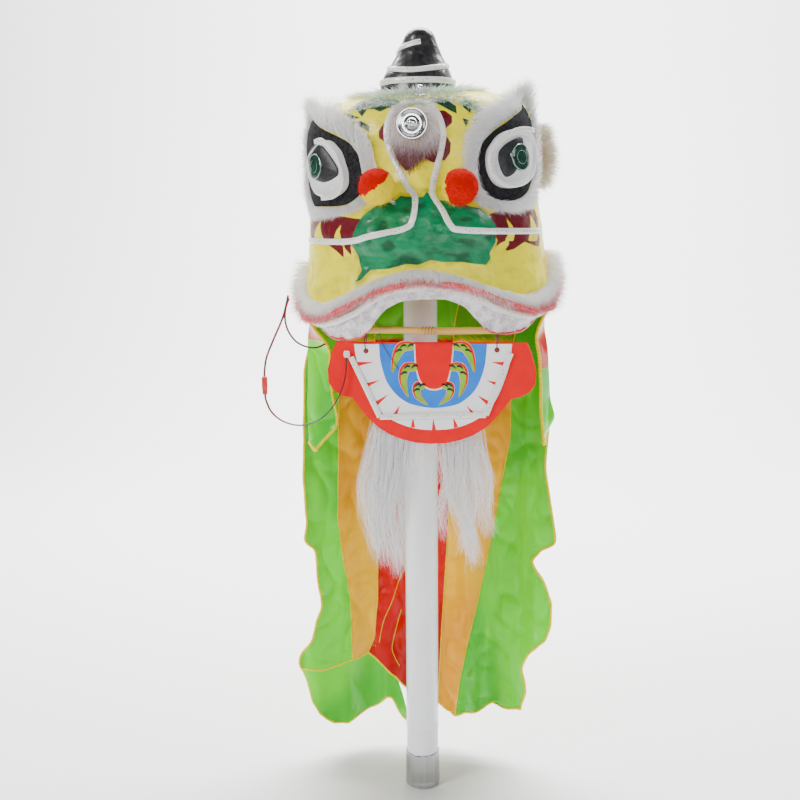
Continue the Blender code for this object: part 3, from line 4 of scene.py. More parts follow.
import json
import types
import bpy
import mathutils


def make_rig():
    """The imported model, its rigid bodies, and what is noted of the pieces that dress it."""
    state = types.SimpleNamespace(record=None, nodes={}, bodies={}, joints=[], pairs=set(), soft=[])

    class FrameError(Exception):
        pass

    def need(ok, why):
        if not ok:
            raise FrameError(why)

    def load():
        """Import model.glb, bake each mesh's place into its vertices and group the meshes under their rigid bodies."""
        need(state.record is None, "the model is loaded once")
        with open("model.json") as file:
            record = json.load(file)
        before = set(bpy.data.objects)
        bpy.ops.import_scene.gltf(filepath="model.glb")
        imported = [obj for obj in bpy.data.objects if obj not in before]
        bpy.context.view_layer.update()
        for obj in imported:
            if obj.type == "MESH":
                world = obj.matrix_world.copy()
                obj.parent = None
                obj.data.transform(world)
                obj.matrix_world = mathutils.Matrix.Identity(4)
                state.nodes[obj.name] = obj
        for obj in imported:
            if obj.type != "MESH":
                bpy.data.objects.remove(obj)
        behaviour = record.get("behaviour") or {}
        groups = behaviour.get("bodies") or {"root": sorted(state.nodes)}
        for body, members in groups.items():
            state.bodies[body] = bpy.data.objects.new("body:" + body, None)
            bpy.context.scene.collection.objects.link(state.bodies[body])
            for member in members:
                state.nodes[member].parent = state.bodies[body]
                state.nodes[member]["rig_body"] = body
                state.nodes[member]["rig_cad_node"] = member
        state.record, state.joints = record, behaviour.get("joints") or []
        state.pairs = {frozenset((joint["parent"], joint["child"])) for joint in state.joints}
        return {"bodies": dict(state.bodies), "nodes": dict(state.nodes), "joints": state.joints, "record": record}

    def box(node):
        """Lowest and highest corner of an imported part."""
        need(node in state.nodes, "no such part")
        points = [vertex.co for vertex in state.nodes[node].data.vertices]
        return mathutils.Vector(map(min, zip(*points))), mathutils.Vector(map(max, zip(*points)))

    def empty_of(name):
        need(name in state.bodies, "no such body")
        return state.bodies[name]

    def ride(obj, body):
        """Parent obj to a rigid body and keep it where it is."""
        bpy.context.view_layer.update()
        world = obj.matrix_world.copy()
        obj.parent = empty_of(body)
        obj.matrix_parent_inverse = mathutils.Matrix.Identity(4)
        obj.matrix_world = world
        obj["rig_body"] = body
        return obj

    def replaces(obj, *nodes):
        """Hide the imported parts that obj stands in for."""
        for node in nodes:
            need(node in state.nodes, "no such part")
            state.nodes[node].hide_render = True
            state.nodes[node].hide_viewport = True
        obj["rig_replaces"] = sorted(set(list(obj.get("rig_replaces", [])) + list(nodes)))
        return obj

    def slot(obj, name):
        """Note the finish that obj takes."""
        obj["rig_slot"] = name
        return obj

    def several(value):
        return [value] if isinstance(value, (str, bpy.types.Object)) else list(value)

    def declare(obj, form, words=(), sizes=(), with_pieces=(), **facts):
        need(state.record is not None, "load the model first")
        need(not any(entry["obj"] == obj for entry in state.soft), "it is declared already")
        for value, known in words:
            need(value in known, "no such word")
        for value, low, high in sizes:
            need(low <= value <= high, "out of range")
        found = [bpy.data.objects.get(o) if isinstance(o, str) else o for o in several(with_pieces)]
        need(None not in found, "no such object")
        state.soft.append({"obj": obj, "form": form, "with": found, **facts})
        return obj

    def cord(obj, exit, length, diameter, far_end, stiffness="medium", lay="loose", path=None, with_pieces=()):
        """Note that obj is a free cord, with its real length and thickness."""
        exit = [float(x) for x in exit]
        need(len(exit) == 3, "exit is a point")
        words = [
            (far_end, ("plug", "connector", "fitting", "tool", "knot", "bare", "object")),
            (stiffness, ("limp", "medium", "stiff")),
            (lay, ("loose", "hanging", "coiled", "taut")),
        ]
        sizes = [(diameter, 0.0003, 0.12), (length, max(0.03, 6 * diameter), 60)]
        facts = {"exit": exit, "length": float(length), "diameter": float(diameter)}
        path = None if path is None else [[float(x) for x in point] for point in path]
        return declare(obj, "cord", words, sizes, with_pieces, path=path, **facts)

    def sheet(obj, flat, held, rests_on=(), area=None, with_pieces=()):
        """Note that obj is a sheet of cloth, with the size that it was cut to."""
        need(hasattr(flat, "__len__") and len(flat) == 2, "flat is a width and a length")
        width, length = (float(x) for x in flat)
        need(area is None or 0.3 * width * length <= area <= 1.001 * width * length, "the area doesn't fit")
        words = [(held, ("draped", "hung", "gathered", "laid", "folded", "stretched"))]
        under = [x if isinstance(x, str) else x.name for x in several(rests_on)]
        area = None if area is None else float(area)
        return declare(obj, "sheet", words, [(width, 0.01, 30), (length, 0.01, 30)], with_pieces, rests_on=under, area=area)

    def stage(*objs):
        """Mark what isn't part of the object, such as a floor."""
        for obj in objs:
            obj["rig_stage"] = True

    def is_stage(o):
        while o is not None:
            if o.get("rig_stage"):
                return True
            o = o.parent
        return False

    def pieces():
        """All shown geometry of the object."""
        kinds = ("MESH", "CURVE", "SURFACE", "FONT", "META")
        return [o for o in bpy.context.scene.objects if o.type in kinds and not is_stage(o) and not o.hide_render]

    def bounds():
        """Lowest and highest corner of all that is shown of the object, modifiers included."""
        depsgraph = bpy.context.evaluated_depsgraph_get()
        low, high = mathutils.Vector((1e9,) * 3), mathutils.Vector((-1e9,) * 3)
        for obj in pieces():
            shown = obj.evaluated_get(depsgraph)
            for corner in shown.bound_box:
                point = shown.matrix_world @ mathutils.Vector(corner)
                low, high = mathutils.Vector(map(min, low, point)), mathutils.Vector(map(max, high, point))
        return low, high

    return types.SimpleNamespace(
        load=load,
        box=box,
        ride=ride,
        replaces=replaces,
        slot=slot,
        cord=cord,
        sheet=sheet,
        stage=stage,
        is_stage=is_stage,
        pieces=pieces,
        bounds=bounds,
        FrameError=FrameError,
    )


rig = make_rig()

bl_info = {
    "name": "Lion Dance Head",
    "version": (1, 0, 0),
    "blender": (4, 5, 0),
    "location": "3D View > Sidebar > Lion Head",
    "description": "Paint, fur, light strips, jaw board, beard, satin cape and wires of a lion dance head",
    "category": "Object",
}

import json
from math import copysign, cos, exp, pi, radians, sin, sqrt

import bmesh
import bpy
import numpy as np
from mathutils import Matrix, Vector, noise
from mathutils.bvhtree import BVHTree

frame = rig.load()
CAD_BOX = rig.bounds()

# The photograph's camera: focal length in pixels of an 800 pixel frame, place and angles
PHOTO_SIDE = 800
FOCAL_PIXELS = 1100.0
SENSOR = 36.0
CAMERA_DISTANCE = 1.6164
CAMERA_HEIGHT = 0.9
CAMERA_ASIDE = -0.031
CAMERA_TURN = radians(6.0)
CAMERA_PITCH = radians(10.0)
CAMERA_ROLL = radians(0.5)

# Sizes shared with the solids
HEAD_WIDTH = 0.326
HEAD_FRONT = 0.158
HEAD_BACK = 0.142
CROWN_Z = 1.056
RIM_Z = 0.748
HEAD_HEIGHT = CROWN_Z - RIM_Z
HALF_HEAD = HEAD_WIDTH / 2
WALL = 0.003
BLUNTNESS = 2.3
FACE_SHIFT = 0.007
HEAD_ROLL = radians(-2.5)
HEAD_PIVOT_Z = 1.03
POLE_RADIUS = 0.025
STRIP_WIDTH = 0.0082
CHIP_SPACING = 0.0167
UNDERSIDE = -0.0006  # Of a patch, below what it lies on
STRIP_THICK = 0.0016
CAPE_HALF_WIDTH = 0.19
CAPE_HEM_Z = 0.054
CAPE_BACK_Y = 0.12
CAPE_CURVE = 0.075
CAPE_FOLD = 0.006
CAPE_TUCK = 0.01
CLOTH = 0.0009

# Rows of the skull from crown to rim. Columns: row, height share above the rim, half width share,
# front share, back share
SKULL_ROWS = (
    (0.0, 1.0, 0.0, 0.0, 0.0), (0.06, 0.995, 0.3, 0.3, 0.3),
    (0.12, 0.985, 0.58, 0.5, 0.55), (0.18, 0.96, 0.79, 0.66, 0.76),
    (0.25, 0.915, 0.92, 0.75, 0.88), (0.32, 0.85, 0.98, 0.795, 0.94),
    (0.42, 0.755, 1.0, 0.815, 0.97), (0.52, 0.645, 1.0, 0.835, 0.99),
    (0.6, 0.55, 1.0, 0.865, 1.0), (0.68, 0.455, 1.01, 0.905, 1.0),
    (0.76, 0.35, 1.03, 0.935, 1.0), (0.84, 0.24, 1.05, 0.955, 1.0),
    (0.92, 0.12, 1.08, 0.985, 1.0), (1.0, 0.0, 1.12, 1.05, 1.01),
)
FLARE_ROW = 9
# Height of the rim. Columns: degrees from the front, share of the head's height
RIM_ROWS = (
    (0, 0.175), (15, 0.15), (32, 0.075), (48, 0.01), (62, 0.0), (80, 0.015),
    (100, 0.06), (125, 0.2), (150, 0.38), (180, 0.47),
)
# Swellings of the face. Columns: middle across, middle up, reach across, reach up, rise, as shares
SWELLINGS = (
    (0.06, 0.37, 0.52, 0.165, 0.125), (-0.4, 0.39, 0.17, 0.07, 0.055),
    (0.5, 0.39, 0.17, 0.07, 0.055), (0.02, 0.61, 0.2, 0.16, 0.06),
    (0.0, 0.84, 0.3, 0.13, 0.04),
)
# Lumps modelled over those. Columns: pixel across, pixel down, reach across, reach down, rise
LUMPS = (
    (378, 232, 17, 15, 0.005), (472, 232, 17, 14, 0.005), (424, 212, 16, 12, 0.004),
    (424, 244, 34, 9, 0.0035), (400, 258, 40, 5, -0.0016), (336, 228, 20, 12, 0.003),
    (512, 226, 20, 14, 0.003), (330, 288, 22, 10, 0.003), (528, 280, 22, 10, 0.003),
    (372, 164, 9, 26, 0.0035), (462, 164, 9, 26, 0.0035), (424, 180, 10, 24, 0.0028),
)

# Painted shapes, as outlines in pixels of the photograph
NOSE = (
    (401, 196), (394, 202), (376, 206), (365, 215), (358, 226), (352, 244), (358, 255), (362, 270),
    (358, 278), (354, 284), (362, 279), (371, 270), (388, 269), (407, 264), (418, 265), (431, 260),
    (442, 262), (463, 262), (474, 264), (486, 265), (490, 259), (489, 253), (495, 242),
    (495, 228), (489, 217), (480, 209), (469, 207), (455, 202), (441, 201), (430, 198), (427, 191),
    (423, 198), (418, 198),
)
MAROON = (
    ((306, 216), (315, 212), (330, 214), (345, 217), (363, 220), (359, 230), (353, 240), (351, 247),
     (352, 256), (346, 249), (343, 244), (344, 258), (335, 250), (326, 243), (316, 242), (305, 236)),
    ((488, 215), (500, 210), (512, 207), (524, 207), (536, 210), (544, 220), (544, 236), (538, 247),
     (531, 244), (524, 242), (514, 249), (503, 252), (509, 244), (507, 240), (500, 243), (494, 249),
     (497, 240), (492, 232), (489, 224)),
    ((436, 111), (444, 110), (452, 116), (452, 123), (445, 129), (437, 125)),
    ((440, 134), (446, 135), (451, 143), (450, 153), (445, 160), (432, 163), (420, 155), (430, 140)),
    ((389, 120), (383, 124), (379, 131), (379, 138), (386, 143), (392, 137)),
    ((393, 145), (396, 156), (400, 164), (406, 171), (413, 166), (418, 161), (421, 154), (408, 146)),
)
FLAMES = (
    ((315, 244), (315, 236), (317, 228), (321.5, 220), (322, 229), (323, 236), (326, 244)),
    ((334, 245), (335, 236), (338, 230), (343, 224), (341, 232), (342, 238), (346, 245)),
    ((504, 241), (508, 232), (505, 218), (511, 226), (514, 233), (513, 241)),
    ((528, 241), (530, 230), (529, 214), (534, 222), (537, 231), (537, 241)),
)
LEAVES = (
    ((354, 106), (362, 117), (367, 109), (374, 109), (380, 112), (388, 108), (395, 108), (401, 101),
     (388, 98), (370, 99), (360, 102)),
    ((429, 97), (445, 99), (456, 106), (457, 114), (449, 110), (441, 105), (432, 102)),
    ((459, 102), (463, 107), (470, 113), (473, 104), (466, 100)),
    ((341, 112), (352, 115), (362, 118), (351, 119)),
    ((351, 122), (361, 121), (371, 127), (362, 128)),
    ((368, 124), (370, 133), (363, 128)),
    ((470, 122), (477, 118), (487, 117), (479, 121)),
    ((472, 114), (482, 108), (494, 108), (484, 113)),
    ((462, 118), (469, 120), (466, 127)),
)
FACE_STRIP = (
    (306, 240), (326, 241.6), (352, 241), (370, 236), (404, 229), (413, 219), (415, 198), (407, 186),
    (399, 170), (391, 152), (387, 138), (388, 122), (396, 108), (411, 102), (427, 103), (438, 115),
    (443, 132), (441, 150), (436, 170), (433, 185), (433, 196), (442, 210), (451, 226), (460, 230),
    (495, 231), (541, 231),
)
TUFT_OUTLINE = (
    (398, 107), (411, 104), (426, 106), (434, 116), (438, 133), (436, 145), (428, 152), (420, 158),
    (408, 168), (402, 160), (396, 150), (392, 136), (393, 122),
)
MIRROR_PIXEL = (411.4, 124.5)
FACE_MIDDLE_PIXEL = 424
COLLAR_APRON = (
    (348, 107), (360, 98), (380, 90), (400, 87), (430, 86), (452, 86), (470, 93), (487, 105),
    (474, 106), (462, 100), (450, 97), (436, 98), (420, 100), (404, 101), (388, 101), (372, 103),
)
BELL_PIXEL = (420.0, 95.5)

# Outlines of the eyes on the skull, in millimetres from each eye's middle: outward, up
EYES = {
    -1: {
        "felt": ((50, 67), (9, 55), (-40, 34), (-59, 13), (-64, -7), (-70, -27), (-62, -42),
                 (-44, -52), (0, -52), (27, -49), (46, -30), (52, 12)),
        "dish": ((31, 6), (10, 27), (-15, 36), (-36, 21), (-47, -6), (-49, -26), (-37, -38),
                 (-15, -41), (14, -29)),
        "iris": ((19, 19), (-6, 32), (-33, 6), (-38, -12), (-15, -20), (13, -9)),
        "pupil": (-1, 2, 14, 17),
        "fur": ((62, 84), (20, 77), (-35, 63), (-71, 31), (-78, -2), (-82, -34), (-70, -53),
                (-46, -61), (0, -62), (30, -58), (52, -40), (58, 14)),
        "strip": ((2, 36), (-15, 36), (-36, 17), (-48, -13), (-47, -32), (-34, -41), (-12, -42)),
        "brow": ((-62, 37), (-71, 18), (-77, -6), (-81, -21)),
    },
    1: {
        "felt": ((56, 71), (40, 65), (9, 52), (-23, 36), (-40, 23), (-49, 10), (-56, -9), (-58, -29),
                 (-46, -53), (-5, -57), (37, -38), (60, 4)),
        "dish": ((-43, -3), (-35, 16), (-16, 32), (18, 37), (46, 28), (52, 3), (38, -24), (6, -39),
                 (-27, -40), (-41, -27)),
        "iris": ((-30, -1), (-18, 16), (11, 25), (11, 3), (-2, -17), (-24, -26)),
        "pupil": (4, -1, 17, 18),
        "fur": ((66, 88), (20, 74), (-28, 55), (-55, 27), (-65, -6), (-69, -35), (-58, -62),
                (-8, -69), (44, -52), (68, 2)),
        "strip": ((-43, -23), (-43, -3), (-35, 15), (-16, 29), (12, 37), (46, 36)),
        "brow": ((-50, 36), (-57, 11), (-64, -18)),
    },
}
EYE_X = 0.129
EYE_Z = 0.958
EYE_TURN = radians(50)
EYE_SINK = 0.026

# Strip on the horn. Columns: degrees from the front, share of the horn's height
HORN_TALL = 0.088
HORN_STRIP_ROWS = ((-100, 0.4), (-10, 0.3), (8, 0.312), (188, 0.532), (368, 0.751))

# Rest of the mouth. Gum columns: degrees from the front, lower edge as a share of the head's height
GUM_ROWS = (
    (0, 0.094), (8, 0.09), (16, 0.055), (23, -0.015), (28, -0.065), (38, -0.08), (50, -0.075),
    (62, -0.04), (70, -0.012), (76, -0.006),
)
# Lip fur. Columns: degrees from the front, middle above the rim, half width as shares
LIP_ROWS = (
    (0, 0.035, 0.024), (25, 0.037, 0.026), (50, 0.043, 0.032),
    (68, 0.062, 0.05), (80, 0.11, 0.075), (92, 0.16, 0.065),
)
JAW_MIDDLE_PIXEL = 433.5
TEETH = (
    (354, 344), (357, 362), (363, 380), (371, 397), (380, 411), (394, 421), (413, 428), (433, 430),
    (455, 428), (474, 421), (488, 411), (498, 396), (505, 379), (510, 362), (512, 344),
)
BLUE_FIELD = (
    (379, 344), (380, 358), (383, 371), (387, 382), (394, 392), (403, 400), (414, 405), (434, 408),
    (455, 405), (466, 399), (475, 390), (481, 378), (485, 364), (487, 344),
)
TONGUE = ((415, 344), (417, 369), (423, 384), (434, 389), (445, 384), (450, 369), (453, 344))
TOOTH_GAPS = (
    ((358, 364), (374, 362)), ((367, 385), (380, 380)), ((377, 403), (389, 394)),
    ((395, 415), (400, 405)), ((413, 427), (413, 417)), ((434, 430), (433, 418)),
    ((456, 427), (453, 417)), ((475, 416), (466, 405)), ((488, 403), (477, 395)),
    ((499, 385), (486, 380)), ((504, 364), (491, 362)),
)
# Swirls on the left of the blue field, mirrored to its right: line of the middle, then width
SWIRLS = (
    (((413, 346), (402, 347), (396, 357), (392, 372)), 9.0),
    (((417, 367), (406, 368), (403, 381), (408, 397)), 8.5),
    (((424, 386), (417, 386), (418, 396), (428, 405)), 7.0),
)
JAW_STRIP = ((351, 357), (380, 417), (486, 415), (511, 353))
JAW_HOLES = ((366, 351), (497, 350))

# Seams and edges of the cape from rim to hem. Columns: height, place across
CAPE_LINES = (
    ((0.75, -0.158), (0.691, -0.185), (0.605, -0.187), (0.487, -0.19), (0.401, -0.187),
     (0.378, -0.191), (0.358, -0.175), (0.311, -0.173), (0.261, -0.167), (0.243, -0.175),
     (0.209, -0.182), (0.186, -0.202), (0.168, -0.204), (0.15, -0.193)),
    ((0.75, -0.129), (0.679, -0.136), (0.405, -0.141), (0.337, -0.134), (0.267, -0.125),
     (0.163, -0.123)),
    ((0.75, -0.08), (0.612, -0.085), (0.398, -0.088), (0.329, -0.082), (0.261, -0.083),
     (0.192, -0.089), (0.167, -0.1)),
    ((0.75, 0.045), (0.6, 0.038), (0.4, 0.034), (0.3, 0.028), (0.2, 0.022),
     (0.075, 0.015)),
    ((0.75, 0.135), (0.539, 0.133), (0.472, 0.121), (0.388, 0.107), (0.319, 0.094), (0.266, 0.083),
     (0.194, 0.067), (0.122, 0.053), (0.054, 0.045)),
    ((0.75, 0.158), (0.692, 0.184), (0.578, 0.192), (0.507, 0.187), (0.495, 0.188), (0.398, 0.204),
     (0.383, 0.204), (0.375, 0.186), (0.35, 0.167), (0.323, 0.187), (0.284, 0.2), (0.248, 0.199),
     (0.225, 0.191), (0.197, 0.166), (0.162, 0.154), (0.144, 0.16), (0.124, 0.162), (0.092, 0.153)),
)
CAPE_SEAMS = (-1.0, -0.72, -0.46, 0.26, 0.66, 1.0)
# Heights above which the satin is in its other colour
PANEL_TOP_Z = 0.69
FLAP_TOP_Z = {"left": 0.7, "right": 0.66}
# Height of the hem. Columns: place between the cape's edges, height above the floor
CAPE_HEM = (
    (-1.0, 0.162), (-0.86, 0.155), (-0.72, 0.16), (-0.46, 0.167), (-0.2, 0.125), (0.0, 0.098),
    (0.26, 0.075), (0.46, 0.062), (0.66, 0.054), (0.74, 0.069), (0.84, 0.087), (0.91, 0.083),
    (1.0, 0.092),
)
CAPE_WRAP = 80
STITCH_LINES = (
    ((404, 567), (399, 580), (392.5, 600), (384, 620), (380, 640)),
    ((402, 607), (397, 625), (392.5, 645), (395, 655), (400, 664)),
)
# Hem behind the left side. Columns: place across, top and bottom height
HEM_FLAP_ROWS = (
    (-0.199, 0.172, 0.16), (-0.19, 0.175, 0.128), (-0.186, 0.176, 0.1), (-0.17, 0.178, 0.076),
    (-0.148, 0.179, 0.052), (-0.127, 0.179, 0.047), (-0.11, 0.179, 0.056), (-0.09, 0.179, 0.066),
    (-0.071, 0.17, 0.085), (-0.058, 0.14, 0.084), (-0.046, 0.102, 0.052), (-0.033, 0.046, 0.034),
)
# Turned edges. Columns: share of the way down, outer edge, inner edge as shares of the half width
LEFT_FLAP_ROWS = (
    (0.0, -0.9, -0.76), (0.2, -0.92, -0.72), (0.4, -0.92, -0.72), (0.6, -0.925, -0.71),
    (0.72, -0.94, -0.68), (0.82, -0.94, -0.67), (0.92, -0.93, -0.78), (1.0, -0.93, -0.86),
)
RIGHT_FLAP_ROWS = (
    (0.0, 0.86, 0.8), (0.2, 0.94, 0.87), (0.4, 0.985, 0.92), (0.6, 1.0, 0.935),
    (0.75, 1.01, 0.935), (0.88, 1.055, 0.95), (1.0, 0.98, 0.965),
)
FLAP_DROP = 0.222

# Locks of the beard. Columns: places across at root, middle and tip, heights of middle and tip,
# spread at the middle, number of hairs
LOCKS = (
    (-0.042, -0.078, -0.06, 0.48, 0.404, 0.008, 210),
    (-0.036, -0.052, -0.046, 0.5, 0.392, 0.009, 260),
    (-0.026, -0.044, -0.03, 0.47, 0.378, 0.007, 280),
    (-0.014, -0.024, -0.014, 0.5, 0.392, 0.008, 220),
    (0.0, -0.006, -0.018, 0.52, 0.43, 0.009, 130),
    (0.022, 0.014, 0.004, 0.535, 0.47, 0.01, 26),
    (0.046, 0.044, 0.04, 0.5, 0.432, 0.005, 120),
    (0.054, 0.058, 0.084, 0.47, 0.392, 0.006, 260),
    (0.07, 0.084, 0.072, 0.49, 0.412, 0.007, 180),
    (0.08, 0.096, 0.108, 0.52, 0.438, 0.007, 190),
)

# Leads, the same routes as the solids': x, y, z
HEAD_LEAD = (
    (-0.186, -0.052, 0.775), (-0.193, -0.058, 0.745), (-0.208, -0.06, 0.711),
    (-0.218, -0.061, 0.687), (-0.2215, -0.062, 0.668), (-0.222, -0.062, 0.658),
)
JAW_LEAD = (
    (-0.222, -0.062, 0.6314), (-0.2195, -0.064, 0.621), (-0.211, -0.07, 0.607),
    (-0.194, -0.078, 0.596), (-0.171, -0.088, 0.592), (-0.148, -0.099, 0.597),
    (-0.127, -0.115, 0.61), (-0.11, -0.1235, 0.629), (-0.099, -0.1255, 0.65),
    (-0.0935, -0.125, 0.67), (-0.0915, -0.1227, 0.6945),
)
SPARE_LEAD = (
    (-0.1865, -0.045, 0.77), (-0.1905, -0.052, 0.755), (-0.19, -0.058, 0.738),
    (-0.184, -0.062, 0.722), (-0.173, -0.064, 0.709), (-0.158, -0.064, 0.702),
    (-0.144, -0.062, 0.701), (-0.132, -0.058, 0.706),
)
WIRE_RADIUS = 0.0008


def mixed(low, high, share):
    return low + (high - low) * share


def smooth(share):
    share = min(1.0, max(0.0, share))
    return share * share * (3 - 2 * share)


def ramp(rows, at, column):
    """Value of a column where the first column, which rises, reaches a number."""
    if at <= rows[0][0]:
        return rows[0][column]
    for low, high in zip(rows, rows[1:]):
        if at <= high[0]:
            return mixed(low[column], high[column], (at - low[0]) / (high[0] - low[0]))
    return rows[-1][column]


def rounded(rows, at, column, reach):
    """The same, averaged over a window, which rounds the table's corners."""
    steps = (-1, -0.6, -0.2, 0.2, 0.6, 1)
    return sum(ramp(rows, at + reach * step, column) for step in steps) / len(steps)


def bend(four, t):
    a, b, c, d = (Vector(point) for point in four)
    low = (a * 2 - b * 5 + c * 4 - d) * t * t
    high = (b * 3 - a - c * 3 + d) * t * t * t
    return (b * 2 + (c - a) * t + low + high) * 0.5


def flowing(points, count, closed=False):
    """Points along a smooth curve through the given ones."""
    size = len(points)
    made = []
    for k in range(count):
        if closed:
            at = k * size / count
            i = int(at)
            four = [points[(i + j - 1) % size] for j in range(4)]
        else:
            at = k * (size - 1) / (count - 1)
            i = min(int(at), size - 2)
            four = [points[min(max(i + j - 1, 0), size - 1)] for j in range(4)]
        made.append(bend(four, at - i))
    return made


def flat_curve(line, count, closed=False):
    """The same for points of two numbers."""
    return [point.xy for point in flowing([(x, y, 0) for x, y in line], count, closed)]


def travelled(path):
    """Distance along a path at each of its points."""
    run = [0.0]
    for a, b in zip(path, path[1:]):
        run.append(run[-1] + (b - a).length)
    return run


def to_world(point):
    """From the head's upright frame to its rolled place."""
    low = Vector(point) - Vector((0, 0, HEAD_PIVOT_Z))
    cosine, sine = cos(HEAD_ROLL), sin(HEAD_ROLL)
    return Vector((low.x * cosine + low.z * sine, low.y, low.z * cosine - low.x * sine + HEAD_PIVOT_Z))


def turned_way(way):
    return to_world(Vector(way) + Vector((0, 0, HEAD_PIVOT_Z))) - Vector((0, 0, HEAD_PIVOT_Z))


# The camera's own axes, used to place what the photograph shows
RIGHT = Vector((cos(CAMERA_TURN), sin(CAMERA_TURN), 0))
AHEAD = Vector((-sin(CAMERA_TURN) * cos(CAMERA_PITCH),
                cos(CAMERA_TURN) * cos(CAMERA_PITCH), -sin(CAMERA_PITCH)))
LEVEL_UP = RIGHT.cross(AHEAD)
SIDEWAYS = RIGHT * cos(CAMERA_ROLL) - LEVEL_UP * sin(CAMERA_ROLL)
UPWARD = LEVEL_UP * cos(CAMERA_ROLL) + RIGHT * sin(CAMERA_ROLL)
EYE_POINT = Vector((CAMERA_DISTANCE * sin(CAMERA_TURN),
                    -CAMERA_DISTANCE * cos(CAMERA_TURN), CAMERA_HEIGHT)) + RIGHT * CAMERA_ASIDE


def sight(pixel):
    """Direction from the camera through a pixel of the photograph."""
    across = (pixel[0] - PHOTO_SIDE / 2) / FOCAL_PIXELS
    up = (PHOTO_SIDE / 2 - pixel[1]) / FOCAL_PIXELS
    return (AHEAD + SIDEWAYS * across + UPWARD * up).normalized()


def on_plane(pixel, y):
    way = sight(pixel)
    return EYE_POINT + way * ((y - EYE_POINT.y) / way.y)


def pixels_of(points):
    """Pixels where an array of points shows in the photograph."""
    away = points - np.array(EYE_POINT)
    depth = away @ np.array(AHEAD)
    across = away @ np.array(SIDEWAYS) / depth * FOCAL_PIXELS + PHOTO_SIDE / 2
    down = PHOTO_SIDE / 2 - away @ np.array(UPWARD) / depth * FOCAL_PIXELS
    return np.stack((across, down), axis=1)


def inside_by(pixels, outline):
    """Signed distance in pixels to an outline, positive inside it."""
    corners = np.array(outline, float)
    best = np.full(len(pixels), 1e9)
    inside = np.zeros(len(pixels), bool)
    for a, b in zip(corners, np.roll(corners, -1, axis=0)):
        edge, away = b - a, pixels - a
        share = np.clip(away @ edge / (edge @ edge), 0, 1)
        best = np.minimum(best, np.linalg.norm(away - share[:, None] * edge, axis=1))
        crosses = (a[1] > pixels[:, 1]) != (b[1] > pixels[:, 1])
        rise = b[1] - a[1] if b[1] != a[1] else 1e-9
        inside ^= crosses & (pixels[:, 0] < a[0] + (pixels[:, 1] - a[1]) / rise * edge[0])
    return np.where(inside, best, -best)


# Materials. Each is a short tree of nodes that reads object coordinates or the piece's own values
def node(tree, kind, **values):
    made = tree.nodes.new(kind)
    for key, value in values.items():
        if hasattr(made, key):
            setattr(made, key, value)
        else:
            made.inputs[key.replace("_", " ")].default_value = value
    return made


def speckle(tree, scale, detail=3.0, stretch=(1, 1, 1), rough=0.5):
    """Noise on object coordinates, with how much finer it is along each axis."""
    place = node(tree, "ShaderNodeTexCoord")
    mapping = node(tree, "ShaderNodeMapping")
    mapping.inputs["Scale"].default_value = stretch
    tree.links.new(place.outputs["Object"], mapping.inputs["Vector"])
    grain = node(tree, "ShaderNodeTexNoise", Scale=scale, Detail=detail, Roughness=rough)
    tree.links.new(mapping.outputs["Vector"], grain.inputs["Vector"])
    return grain.outputs["Fac"]


def blended(tree, share, low, high):
    """Colour between two colours or sockets, by a share."""
    mix = tree.nodes.new("ShaderNodeMix")
    mix.data_type = "RGBA"
    mix.clamp_factor = True
    tree.links.new(share, mix.inputs[0])
    for value, socket in ((low, mix.inputs[6]), (high, mix.inputs[7])):
        if isinstance(value, bpy.types.NodeSocket):
            tree.links.new(value, socket)
        else:
            socket.default_value = (*value, 1.0)
    return mix.outputs[2]


def counted(tree, operation, *values):
    """Result of one step of arithmetic on sockets or numbers."""
    made = node(tree, "ShaderNodeMath", operation=operation)
    for value, socket in zip(values, made.inputs):
        if isinstance(value, bpy.types.NodeSocket):
            tree.links.new(value, socket)
        else:
            socket.default_value = value
    return made.outputs[0]


def stepped(tree, value, low, high):
    """0 below a value, 1 above another, smooth between them."""
    ranged = node(tree, "ShaderNodeMapRange", interpolation_type="SMOOTHSTEP")
    tree.links.new(value, ranged.inputs["Value"])
    ranged.inputs["From Min"].default_value = low
    ranged.inputs["From Max"].default_value = high
    return ranged.outputs["Result"]


def value_of(tree, name):
    return node(tree, "ShaderNodeAttribute", attribute_name=name).outputs["Fac"]


def new_finish(name, colour, roughness, metallic=0.0, **sockets):
    made = bpy.data.materials.new(name)
    made.use_nodes = True
    shader = made.node_tree.nodes["Principled BSDF"]
    shader.inputs["Base Color"].default_value = (*colour, 1.0)
    shader.inputs["Roughness"].default_value = roughness
    shader.inputs["Metallic"].default_value = metallic
    for key, value in sockets.items():
        shader.inputs[key.replace("_", " ")].default_value = value
    return made, made.node_tree, shader


def bumped(tree, shader, height, strength, distance):
    bump = node(tree, "ShaderNodeBump", Strength=strength, Distance=distance)
    tree.links.new(height, bump.inputs["Height"])
    tree.links.new(bump.outputs["Normal"], shader.inputs["Normal"])


def mottled(name, low, high, scale, roughness, bump=0.2, deep=0.0005, bump_scale=None, stretch=(1, 1, 1),
            metallic=0.0, **sockets):
    """Finish that varies between two near colours, with a fine relief."""
    made, tree, shader = new_finish(name, low, roughness, metallic, **sockets)
    spots = stepped(tree, speckle(tree, scale, stretch=stretch), 0.35, 0.65)
    tree.links.new(blended(tree, spots, low, high), shader.inputs["Base Color"])
    bumped(tree, shader, speckle(tree, bump_scale or scale * 6, stretch=stretch), bump, deep)
    return made


